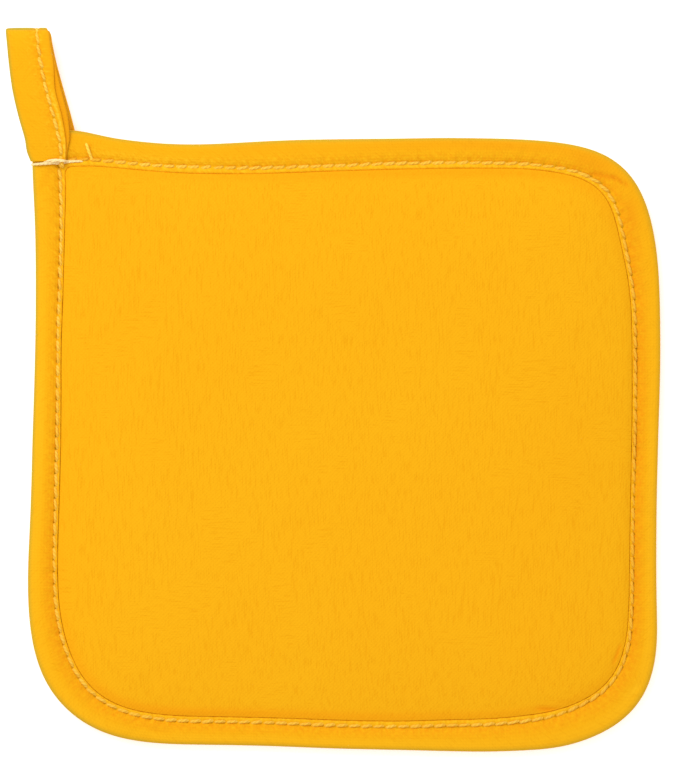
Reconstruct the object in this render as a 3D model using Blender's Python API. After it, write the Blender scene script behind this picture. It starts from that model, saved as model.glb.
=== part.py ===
"""Square cloth pot holder: a filled pad, a folded tape round its edge and a hanging loop.

Metres, +Z up. The pot holder lies face up on the plane z = 0. The origin is the middle of the
pad's flat underside, +X runs to its right edge and +Y to its top edge, where the loop stands out
of the top left corner. Sizes below are in millimetres and become metres in the meshes.
"""

import math
from typing import NamedTuple

import bmesh
import bpy

MM = 0.001
COLLECTION_NAME = "pot_holder"

# Outline: distance from the origin to each straight edge.
LEFT_REACH = 98.4
RIGHT_REACH = 99.2
BOTTOM_REACH = 95.8
TOP_REACH = 97.0
SMALLEST_RADIUS = 1.0
INNER_ROUNDING = 1.6
EDGE_STEPS = 10

# Edge tape, folded over the pad's rim, and its seam.
TAPE_THICKNESS = 1.0
TAPE_WIDTH = 9.4
SEAM_INSET = 7.6
CLEARANCE = 0.3
RIM_HEIGHT = 2.75

# Pad: soft rise from the seam to the middle, flat underside.
CROWN_HEIGHT = 8.0
CROWN_RUN = 9.0
FLAT_INSET = 16.0
SHRINK_INSET = 24.0
MIDDLE_INSET = 97.0
PAD_TOP_INSETS = (10.4, 11.8, 13.6, 16.0, 19.5, 24.0, 31.0, 42.0, 57.0, 76.0, MIDDLE_INSET)
PAD_UNDER_INSETS = (10.6, 12.4, 14.4, FLAT_INSET, SHRINK_INSET, 34.0, 44.0)

# Top left corner, raised and pressed thinner, because the loop's back leg lies beneath it.
CORNER_LIFT = 1.9
UPPER_LIFT_SHARE = 0.4
LIFTED_TO_X = -80.5
LIFTED_FROM_Y = 82.5
LIFT_FADE = 30.0

# Hanging loop, a strap folded over at its top.
STRAP_THICKNESS = 1.5
STRAP_STEPS = 3
PINCHED_THICKNESS = 0.7


class Corner(NamedTuple):
    """One corner of the outline: its quadrant, its radius and how squarely it turns."""

    side_x: int
    side_y: int
    radius: float
    fullness: float
    steps: int


class Push(NamedTuple):
    """A soft local shift of the outline, which fades with distance from its middle."""

    x: float
    y: float
    reach: float
    push_x: float
    push_y: float


class Profile(NamedTuple):
    """A point of a section: distance in from the outline, height, and share of the corner's lift."""

    inset: float
    height: float
    lift_share: float


class Swell(NamedTuple):
    """A low rise or hollow in the pad's top."""

    x: float
    y: float
    reach: float
    rise: float


class StrapRow(NamedTuple):
    """A place along the loop's strap: its middle, full width and full thickness."""

    x: float
    y: float
    z: float
    width: float
    thickness: float


# Anticlockwise from the top right. The top left corner is square.
CORNERS = (
    Corner(1, 1, 63.0, 4.0, 15),
    Corner(-1, 1, 3.0, 2.0, 3),
    Corner(-1, -1, 52.0, 2.8, 15),
    Corner(1, -1, 40.0, 2.45, 13),
)

# The sewn edge is not quite straight: it flares towards the loop and sags between the corners.
EDGE_PUSHES = (
    Push(-85.0, 98.0, 13.0, 0.0, 2.1),
    Push(-84.0, 100.0, 6.0, 0.0, 1.3),
    Push(-50.0, 97.0, 22.0, 0.0, -1.9),
    Push(98.0, 25.0, 30.0, 1.1, 0.0),
    Push(36.0, -96.0, 26.0, 0.0, -1.5),
    Push(-50.0, -96.0, 26.0, 0.0, 0.7),
    Push(-99.0, -42.0, 26.0, -1.6, 0.0),
    Push(-98.0, 50.0, 26.0, 0.8, 0.0),
    Push(-98.0, 88.0, 9.0, -0.5, 0.0),
    Push(88.0, -84.0, 12.0, 0.6, 0.5),
)

# The seam wanders further in from the edge at three corners.
SEAM_PUSHES = (
    Push(76.0, -84.0, 13.0, -1.6, 2.6),
    Push(90.0, 64.0, 11.0, -1.7, 0.0),
    Push(-89.0, -64.0, 12.0, 1.2, 0.2),
    Push(82.0, 84.0, 9.0, 0.8, 0.6),
)

# Outer face of the folded tape, from the upper leaf's edge over the rim to the lower leaf's edge.
TAPE_FACE = (
    Profile(TAPE_WIDTH, 5.05, UPPER_LIFT_SHARE),
    Profile(8.6, 5.1, UPPER_LIFT_SHARE),
    Profile(SEAM_INSET, 4.95, UPPER_LIFT_SHARE),
    Profile(6.4, 5.3, UPPER_LIFT_SHARE),
    Profile(4.4, 5.6, UPPER_LIFT_SHARE),
    Profile(2.4, 5.5, UPPER_LIFT_SHARE),
    Profile(1.1, 4.95, UPPER_LIFT_SHARE),
    Profile(0.3, 4.0, UPPER_LIFT_SHARE),
    Profile(0.0, RIM_HEIGHT, 0.65),
    Profile(0.3, 1.5, 0.9),
    Profile(1.1, 0.5, 1.0),
    Profile(2.4, 0.0, 1.0),
    Profile(6.4, 0.0, 1.0),
    Profile(SEAM_INSET, 0.25, 1.0),
    Profile(8.6, 0.1, 1.0),
    Profile(TAPE_WIDTH, 0.1, 1.0),
)

PAD_SWELLS = (
    Swell(-45.0, 40.0, 26.0, 0.35),
    Swell(38.0, -30.0, 30.0, 0.3),
    Swell(30.0, 48.0, 22.0, -0.3),
    Swell(-40.0, -48.0, 24.0, -0.25),
)

# From the tack across the binding, up the front, over the fold and down behind to the back end.
STRAP_ROWS = (
    StrapRow(-93.4, 90.0, 7.05, 11.4, PINCHED_THICKNESS),
    StrapRow(-93.9, 92.8, 7.25, 12.6, 1.1),
    StrapRow(-94.2, 96.6, 7.6, 13.2, STRAP_THICKNESS),
    StrapRow(-95.8, 104.0, 8.2, 14.1, STRAP_THICKNESS),
    StrapRow(-97.7, 112.0, 8.7, 13.9, STRAP_THICKNESS),
    StrapRow(-99.2, 120.5, 8.8, 13.2, STRAP_THICKNESS),
    StrapRow(-99.8, 127.0, 8.4, 13.3, STRAP_THICKNESS),
    StrapRow(-99.9, 130.2, 7.0, 13.9, STRAP_THICKNESS),
    StrapRow(-99.9, 131.2, 4.7, 14.1, STRAP_THICKNESS),
    StrapRow(-99.6, 130.1, 2.3, 14.1, STRAP_THICKNESS),
    StrapRow(-99.0, 127.2, 0.98, 13.8, STRAP_THICKNESS),
    StrapRow(-97.3, 120.5, 0.75, 13.5, STRAP_THICKNESS),
    StrapRow(-95.1, 112.0, 0.75, 13.6, STRAP_THICKNESS),
    StrapRow(-93.0, 104.0, 0.75, 13.6, STRAP_THICKNESS),
    StrapRow(-91.3, 96.6, 0.75, 13.4, STRAP_THICKNESS),
    StrapRow(-89.8, 90.0, 0.75, 13.2, STRAP_THICKNESS),
    StrapRow(-88.6, 84.0, 0.75, 13.0, STRAP_THICKNESS),
)

# Strap section, as parts of its half width and half thickness: the seam runs near its right edge.
STRAP_SECTION = (
    (-1.0, 0.0),
    (-0.96, 0.62),
    (-0.84, 0.97),
    (-0.45, 1.0),
    (0.1, 1.0),
    (0.4, 0.94),
    (0.55, 0.72),
    (0.7, 0.86),
    (0.88, 0.86),
    (0.97, 0.55),
    (1.0, 0.0),
)


def linear_colour(hex_code):
    """Turn an sRGB hex colour into linear red, green, blue and alpha."""
    channels = [int(hex_code[i : i + 2], 16) / 255 for i in (1, 3, 5)]
    linear = [
        c / 12.92 if c <= 0.04045 else ((c + 0.055) / 1.055) ** 2.4 for c in channels
    ]
    return (*linear, 1.0)


def smooth_step(value):
    """Rise from 0 to 1 with level ends as value goes from 0 to 1."""
    t = min(max(value, 0.0), 1.0)
    return t * t * (3.0 - 2.0 * t)


def pushed(x, y, pushes, share):
    """Shift a point by the given share of each push."""
    shift_x = 0.0
    shift_y = 0.0
    for push in pushes:
        distance_squared = (x - push.x) ** 2 + (y - push.y) ** 2
        weight = share * math.exp(-distance_squared / (2.0 * push.reach**2))
        shift_x += weight * push.push_x
        shift_y += weight * push.push_y
    return x + shift_x, y + shift_y


def corner_points(corner, inset):
    """Points of one corner, anticlockwise, on a line this far inside the outline."""
    inner_radius = SMALLEST_RADIUS + INNER_ROUNDING * max(inset - TAPE_WIDTH, 0.0)
    radius = max(corner.radius - inset, inner_radius)
    reach_x = RIGHT_REACH if corner.side_x > 0 else LEFT_REACH
    reach_y = TOP_REACH if corner.side_y > 0 else BOTTOM_REACH
    middle_x = corner.side_x * (reach_x - inset - radius)
    middle_y = corner.side_y * (reach_y - inset - radius)
    power = 2.0 / corner.fullness
    points = []
    for step in range(corner.steps + 1):
        turn = 0.5 * math.pi * step / corner.steps
        along_x = corner.side_x * radius * max(math.cos(turn), 0.0) ** power
        along_y = corner.side_y * radius * math.sin(turn) ** power
        points.append((middle_x + along_x, middle_y + along_y))
    if corner.side_x * corner.side_y < 0:
        points.reverse()
    return points


def straight_ring(inset):
    """The outline before its pushes: four corners joined by evenly stepped edges."""
    runs = [corner_points(corner, inset) for corner in CORNERS]
    ring = []
    for run, following in zip(runs, runs[1:] + runs[:1]):
        ring.extend(run)
        start_x, start_y = run[-1]
        end_x, end_y = following[0]
        for step in range(1, EDGE_STEPS):
            share = step / EDGE_STEPS
            ring.append(
                (start_x + share * (end_x - start_x), start_y + share * (end_y - start_y))
            )
    return ring


def ring_points(inset):
    """The line this far inside the outline. Past SHRINK_INSET it shrinks towards the origin."""
    edge_inset = min(inset, SHRINK_INSET)
    shrink = (MIDDLE_INSET - max(inset, SHRINK_INSET)) / (MIDDLE_INSET - SHRINK_INSET)
    seam_share = smooth_step(edge_inset / SEAM_INSET)
    ring = []
    for x, y in straight_ring(edge_inset):
        seam_x, seam_y = pushed(x, y, SEAM_PUSHES, seam_share)
        edge_x, edge_y = pushed(seam_x, seam_y, EDGE_PUSHES, 1.0)
        ring.append((shrink * edge_x, shrink * edge_y))
    return ring


def corner_lift_at(x, y):
    """Height gained by the underside near the corner that lies on the loop's back leg."""
    gap_x = max(x - LIFTED_TO_X, 0.0)
    gap_y = max(LIFTED_FROM_Y - y, 0.0)
    return CORNER_LIFT * (1.0 - smooth_step(math.hypot(gap_x, gap_y) / LIFT_FADE))


def offset_profile(profile, distance):
    """Move a section's line sideways, towards the pad, by an even distance."""
    sides = []
    for first, second in zip(profile, profile[1:]):
        run = second.inset - first.inset
        rise = second.height - first.height
        length = math.hypot(run, rise)
        sides.append((-rise / length, run / length))
    moved = []
    for index, point in enumerate(profile):
        before = sides[max(index - 1, 0)]
        after = sides[min(index, len(sides) - 1)]
        mitre = 1.0 + before[0] * after[0] + before[1] * after[1]
        shift_inset = distance * (before[0] + after[0]) / mitre
        shift_height = distance * (before[1] + after[1]) / mitre
        moved.append(
            point._replace(inset=point.inset + shift_inset, height=point.height + shift_height)
        )
    return moved


def crown_at(inset, seam_height):
    """Height of the pad's top: a quick rise from the seam that flattens towards the middle."""
    rise = CROWN_HEIGHT - seam_height
    return seam_height + rise * (1.0 - math.exp(-(inset - TAPE_WIDTH) / CROWN_RUN))


def underside_at(inset, seam_height):
    """Height of the pad's underside: down from the tape's edge to the plane it rests on."""
    return seam_height * (1.0 - smooth_step((inset - TAPE_WIDTH) / (FLAT_INSET - TAPE_WIDTH)))


def swell_at(x, y, inset):
    """Low unevenness of the pad's top, none at the seam."""
    total = 0.0
    for swell in PAD_SWELLS:
        distance_squared = (x - swell.x) ** 2 + (y - swell.y) ** 2
        total += swell.rise * math.exp(-distance_squared / (2.0 * swell.reach**2))
    return total * smooth_step((inset - TAPE_WIDTH) / FLAT_INSET)


def wrapped_mesh(name, rows, closed_rows):
    """Wrap a grid over rows of points, each row a closed line, and close the ends.

    Where closed_rows is true the last row joins the first, as in a ring. Otherwise an end row
    that has one place is a pole, and any other end row is filled with one flat face.
    """
    row_count = len(rows) if closed_rows else len(rows) - 1
    column_count = len(rows[0])
    mesh_in_edit = bmesh.new()
    bmesh.ops.create_grid(mesh_in_edit, x_segments=column_count, y_segments=row_count, size=1.0)
    for vertex in mesh_in_edit.verts:
        column = round(0.5 * (vertex.co.x + 1.0) * column_count) % column_count
        row = round(0.5 * (vertex.co.y + 1.0) * row_count) % len(rows)
        vertex.co = [MM * value for value in rows[row][column]]
    bmesh.ops.remove_doubles(mesh_in_edit, verts=mesh_in_edit.verts, dist=0.001 * MM)
    open_edges = [edge for edge in mesh_in_edit.edges if edge.is_boundary]
    if open_edges:
        bmesh.ops.holes_fill(mesh_in_edit, edges=open_edges, sides=0)
    bmesh.ops.recalc_face_normals(mesh_in_edit, faces=mesh_in_edit.faces)
    mesh = bpy.data.meshes.new(name)
    mesh_in_edit.to_mesh(mesh)
    mesh_in_edit.free()
    return mesh


def section_row(point):
    """Points all round the pot holder at one place of its section."""
    row = []
    for x, y in ring_points(point.inset):
        row.append((x, y, point.height + point.lift_share * corner_lift_at(x, y)))
    return row


def crown_row(inset, seam_height):
    """Points all round the pad's top at one distance in from the outline."""
    height = crown_at(inset, seam_height)
    row = []
    for x, y in ring_points(inset):
        lift = UPPER_LIFT_SHARE * corner_lift_at(x, y)
        row.append((x, y, height + lift + swell_at(x, y, inset)))
    return row


def pad_mesh():
    """Filled pad: thin at its bound rim, crowned on top and flat beneath."""
    bound_face = offset_profile(TAPE_FACE, TAPE_THICKNESS + CLEARANCE)
    seam_top = bound_face[0].height
    seam_under = bound_face[-1].height
    rows = [crown_row(inset, seam_top) for inset in reversed(PAD_TOP_INSETS)]
    rows += [section_row(point) for point in bound_face]
    rows += [
        section_row(Profile(inset, underside_at(inset, seam_under), 1.0))
        for inset in PAD_UNDER_INSETS
    ]
    return wrapped_mesh("pad", rows, closed_rows=False)


def binding_mesh():
    """Tape folded lengthwise over the pad's rim, one closed ring."""
    inner_face = offset_profile(TAPE_FACE, TAPE_THICKNESS)
    section = list(TAPE_FACE) + inner_face[::-1]
    return wrapped_mesh("binding", [section_row(point) for point in section], closed_rows=True)


def strap_path():
    """Rows along the strap, with smooth steps between the named ones, none below z = 0."""
    path = []
    last = len(STRAP_ROWS) - 1
    for index in range(last):
        before = STRAP_ROWS[max(index - 1, 0)]
        start = STRAP_ROWS[index]
        end = STRAP_ROWS[index + 1]
        after = STRAP_ROWS[min(index + 2, last)]
        here = math.dist(start[:3], end[:3])
        earlier = math.dist(before[:3], start[:3]) + here
        later = math.dist(end[:3], after[:3]) + here
        for step in range(STRAP_STEPS):
            t = step / STRAP_STEPS
            row = []
            for value_before, value, value_end, value_after in zip(before, start, end, after):
                slope_start = (value_end - value_before) * here / earlier
                slope_end = (value_after - value) * here / later
                row.append(
                    value * (2 * t**3 - 3 * t**2 + 1)
                    + slope_start * (t**3 - 2 * t**2 + t)
                    + value_end * (3 * t**2 - 2 * t**3)
                    + slope_end * (t**3 - t**2)
                )
            path.append(StrapRow(*row))
    path.append(STRAP_ROWS[-1])
    return [place._replace(z=max(place.z, 0.5 * place.thickness)) for place in path]


def loop_mesh():
    """Strap folded over into a loop, with its front leg above the corner and its back leg below."""
    path = strap_path()
    around = list(STRAP_SECTION) + [(across, -depth) for across, depth in STRAP_SECTION[-2:0:-1]]
    rows = []
    for index, place in enumerate(path):
        before = path[max(index - 1, 0)]
        after = path[min(index + 1, len(path) - 1)]
        run = after.y - before.y
        rise = after.z - before.z
        length = math.hypot(run, rise)
        row = []
        for across, depth in around:
            out = 0.5 * place.thickness * depth / length
            row.append(
                (
                    place.x + 0.5 * place.width * across,
                    place.y - out * rise,
                    place.z + out * run,
                )
            )
        rows.append(row)
    return wrapped_mesh("hanging_loop", rows, closed_rows=False)


def cloth_material(name, hex_code, roughness):
    """Plain woven cotton of one colour."""
    material = bpy.data.materials.new(name)
    material.use_nodes = True
    shader = material.node_tree.nodes["Principled BSDF"]
    shader.inputs["Base Color"].default_value = linear_colour(hex_code)
    shader.inputs["Roughness"].default_value = roughness
    shader.inputs["Metallic"].default_value = 0.0
    material.diffuse_color = linear_colour(hex_code)
    return material


def add_piece(mesh, material, collection, frame_empty):
    """Put one finished mesh into the collection, shaded smooth except at its sharp edges."""
    mesh.materials.append(material)
    mesh.shade_smooth()
    mesh.set_sharp_from_angle(angle=math.radians(50.0))
    piece = bpy.data.objects.new(mesh.name, mesh)
    piece.parent = frame_empty
    collection.objects.link(piece)
    return piece


def main():
    """Clear the scene and build the pot holder's three pieces."""
    for old_object in list(bpy.data.objects):
        bpy.data.objects.remove(old_object, do_unlink=True)
    collection = bpy.data.collections.new(COLLECTION_NAME)
    bpy.context.scene.collection.children.link(collection)
    frame_empty = bpy.data.objects.new("pot_holder_frame", None)
    collection.objects.link(frame_empty)
    add_piece(pad_mesh(), cloth_material("pad_cotton", "#fcb616", 0.85), collection, frame_empty)
    add_piece(
        binding_mesh(), cloth_material("binding_cotton", "#fab51a", 0.8), collection, frame_empty
    )
    add_piece(loop_mesh(), cloth_material("loop_cotton", "#fbb318", 0.8), collection, frame_empty)


main()
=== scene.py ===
"""Looks of the square cloth pot holder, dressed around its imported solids.

The frame is in metres, +Z up. The pot holder lies face up on z = 0, +X runs to its right edge and
+Y to its top edge, where the hanging loop stands out. The sizes that the classes hold are in
millimetres and become metres in the meshes. The plan's numbers are those of the solids, so each
piece of cloth sits where its solid is.
"""

import logging
import math
from dataclasses import dataclass
from enum import Enum
from typing import Any, NamedTuple

import bmesh
import bpy
import numpy as np
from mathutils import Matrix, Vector
from mathutils.bvhtree import BVHTree
from mathutils.kdtree import KDTree


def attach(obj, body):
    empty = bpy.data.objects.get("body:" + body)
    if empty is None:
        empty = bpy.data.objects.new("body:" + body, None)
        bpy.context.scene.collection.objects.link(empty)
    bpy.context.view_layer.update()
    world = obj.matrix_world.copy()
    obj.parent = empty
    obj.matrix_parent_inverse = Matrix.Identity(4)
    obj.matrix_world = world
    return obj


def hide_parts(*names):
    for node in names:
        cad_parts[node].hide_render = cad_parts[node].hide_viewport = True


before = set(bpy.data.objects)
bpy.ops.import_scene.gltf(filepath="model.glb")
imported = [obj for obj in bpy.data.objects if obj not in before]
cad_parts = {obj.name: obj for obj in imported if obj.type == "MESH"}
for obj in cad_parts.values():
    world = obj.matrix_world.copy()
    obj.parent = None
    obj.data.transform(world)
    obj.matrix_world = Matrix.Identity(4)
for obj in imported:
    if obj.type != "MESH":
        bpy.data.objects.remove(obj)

LOG = logging.getLogger("pot_holder")
MM = 0.001
HIDDEN = 99.0
TAPE_UV = "tape"
SEAM_DISTANCE = "seam_distance"
# Painted shade, below 0, and painted light, above 0, on the panel, the tape and the loop.
PAINTED_SHADE_AND_LIGHT = "painted_shade_and_light"
# Painted shade along the rims, where the tape turns down.
PAINTED_RIM_SHADE = "painted_rim_shade"
OUTWARD = "outward"
STITCH_TONE = "stitch_tone"
# How open the needle holes are, and so how much painted shade fills them.
PIERCED = "pierced"
STRAND_WIDTH = "strand_width"
THREAD_ALONG = "thread_along"
THREAD_AROUND = "thread_around"
THREAD_TINT = "thread_tint"


def linear_colour(hex_code: str) -> tuple[float, float, float, float]:
    """Turn an sRGB hex colour into linear red, green, blue and alpha.

    Args:
        hex_code: The colour as #rrggbb.

    Returns:
        The four linear channels, alpha 1.
    """
    channels = [int(hex_code[i : i + 2], 16) / 255 for i in (1, 3, 5)]
    red, green, blue = [
        c / 12.92 if c <= 0.04045 else ((c + 0.055) / 1.055) ** 2.4 for c in channels
    ]
    return red, green, blue, 1.0


def smooth_step(value: np.ndarray | float) -> np.ndarray | float:
    """Rise from 0 to 1 with level ends as the value goes from 0 to 1."""
    t = np.clip(value, 0.0, 1.0)
    return t * t * (3.0 - 2.0 * t)


def bell(distance: np.ndarray | float, reach: float) -> np.ndarray | float:
    """Fall from 1 at no distance to about a third at the reach, and on to 0."""
    return np.exp(-((distance / reach) ** 2))


def add_node(
    tree: bpy.types.NodeTree, kind: str, settings: dict[str, Any] | None = None,
    inputs: dict[str | int, Any] | None = None,
) -> bpy.types.Node:
    """Add a node with its settings, and set or link its inputs.

    Args:
        tree: The tree that gets the node.
        kind: The node's type.
        settings: Values of the node's own properties, by name.
        inputs: For an input, by name or place, its value or the output that it takes.

    Returns:
        The new node.
    """
    node = tree.nodes.new(kind)
    for name, value in (settings or {}).items():
        setattr(node, name, value)
    for name, value in (inputs or {}).items():
        if isinstance(value, bpy.types.NodeSocket):
            tree.links.new(value, node.inputs[name])
        else:
            node.inputs[name].default_value = value
    return node


@dataclass(frozen=True)
class Ripples:
    """Soft random unevenness of cloth: plane waves of about one length, from a fixed seed."""

    wavelength: float
    height: float
    seed: int
    waves: int = 28

    def at(self, x: np.ndarray, y: np.ndarray) -> np.ndarray:
        """Work out the unevenness at some places.

        Args:
            x: First coordinate of each place.
            y: Second coordinate of each place.

        Returns:
            The rise at each place, most of it within the ripples' height.
        """
        draw = np.random.default_rng(self.seed)
        total = np.zeros(np.broadcast(x, y).shape)
        for turn, stretch, phase in draw.random((self.waves, 3)):
            pull = 2.0 * math.pi / (self.wavelength * (0.7 + 0.9 * stretch))
            along = x * math.cos(math.pi * turn) + y * math.sin(math.pi * turn)
            total += np.cos(pull * along + 2.0 * math.pi * phase)
        return self.height * total * math.sqrt(0.5 / self.waves)


def set_marks(mesh: bpy.types.Mesh, marks: dict[str, np.ndarray]) -> None:
    """Give a mesh's points their named values."""
    for mark, values in marks.items():
        attribute = mesh.attributes.new(mark, "FLOAT", "POINT")
        attribute.data.foreach_set("value", values.astype(np.float32).ravel())


def lengths_up_to(points: np.ndarray) -> np.ndarray:
    """Measure a line up to each of its points."""
    steps = np.linalg.norm(np.diff(points, axis=0), axis=1)
    return np.concatenate(([0.0], np.cumsum(steps)))


def start_material(name: str, values: dict[str, Any]) -> tuple[bpy.types.Material, bpy.types.Node]:
    """Start a material with the values that are the same all over.

    Args:
        name: The material's name.
        values: Values of the shader's own sockets, by name.

    Returns:
        The material and its shader.
    """
    material = bpy.data.materials.new(name)
    material.use_nodes = True
    shader = material.node_tree.nodes["Principled BSDF"]
    for socket, value in values.items():
        shader.inputs[socket].default_value = value
    return material, shader


def closed_mesh(
    name: str, grid: np.ndarray, wrap_rows: bool, uv: np.ndarray | None = None,
    marks: dict[str, np.ndarray] | None = None,
) -> bpy.types.Mesh:
    """Wrap a grid of points into a closed mesh whose faces point outwards.

    Each row is a closed line of points. An end row whose points all meet is a pole, and any
    other end row is filled.

    Args:
        name: The mesh's name.
        grid: Points in millimetres, rows by columns by three.
        wrap_rows: Whether the last row joins the first.
        uv: Map places, with one more row and column than there are faces.
        marks: Named values for each point, as the material needs them.

    Returns:
        The new mesh, shaded smooth.
    """
    rows, columns = grid.shape[:2]
    row = np.arange(rows if wrap_rows else rows - 1)[:, None]
    column = np.arange(columns)[None, :]
    corners = ((row, column), (row, column + 1), (row + 1, column + 1), (row + 1, column))
    faces = np.stack([(r % rows) * columns + c % columns for r, c in corners], axis=-1)
    mesh = bpy.data.meshes.new(name)
    mesh.from_pydata((MM * grid).reshape(-1, 3).tolist(), [], faces.reshape(-1, 4).tolist())
    set_marks(mesh, marks or {})
    if uv is not None:
        layer = mesh.uv_layers.new(name=TAPE_UV)
        loops = np.stack([uv[r, c] for r, c in corners], axis=2)
        layer.data.foreach_set("uv", loops.astype(np.float32).ravel())
    in_edit = bmesh.new()
    in_edit.from_mesh(mesh)
    bmesh.ops.remove_doubles(in_edit, verts=in_edit.verts, dist=0.0005 * MM)
    open_edges = [edge for edge in in_edit.edges if edge.is_boundary]
    if open_edges:
        bmesh.ops.holes_fill(in_edit, edges=open_edges, sides=0)
    bmesh.ops.recalc_face_normals(in_edit, faces=in_edit.faces)
    in_edit.to_mesh(mesh)
    in_edit.free()
    mesh.shade_smooth()
    return mesh


def place(mesh: bpy.types.Mesh, material: bpy.types.Material) -> bpy.types.Object:
    """Put a finished mesh into the scene, in its material, with its object at the origin."""
    mesh.materials.clear()
    mesh.materials.append(material)
    piece = bpy.data.objects.new(mesh.name, mesh)
    bpy.context.scene.collection.objects.link(piece)
    return piece


def settle(piece: bpy.types.Object, slot: str, *nodes: str) -> None:
    """Tie a finished piece to the frame.

    Args:
        piece: The piece, in its final place.
        slot: Not used.
        nodes: The solids that it stands for, if any.
    """
    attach(piece, "root")
    if nodes:
        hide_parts(*nodes)


class Corner(NamedTuple):
    """One corner of the plan: its quadrant, its radius and how squarely it turns."""

    side_x: int
    side_y: int
    radius: float
    fullness: float


class Push(NamedTuple):
    """A soft local shift of the plan, which fades with distance from its middle."""

    x: float
    y: float
    reach: float
    push_x: float
    push_y: float


class Wander(NamedTuple):
    """How far in three lines really run at one place: outline, needle holes and leaf's edge.

    The plan's rows weren't chosen by hand. A program tracked these lines on the photo, and others
    shifted and corrected the rows.
    """

    along: float
    outline: float
    seam: float
    leaf: float


class Shade(NamedTuple):
    """How the cloth differs at one place along the seam.

    Painted shade deepens the tape by near beside the seam; painted light lightens it by far towards
    its rim, or painted shade deepens it there where far is below 0; painted shade darkens the rim
    by rim_shade. Painted shade deepens the panel by panel along the seam, and the panel lies snug
    against the tape's edge or not, which also sets the painted light on the tape's lip. How light
    the thread is drawn is thread_tone, and pierced is how open its holes are and how much painted
    shade fills them.
    The plan's rows were given after colours measured along the photo's seam.
    """

    along: float
    near: float
    far: float
    rim_shade: float
    panel: float
    snug: float
    thread_tone: float
    pierced: float


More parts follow.
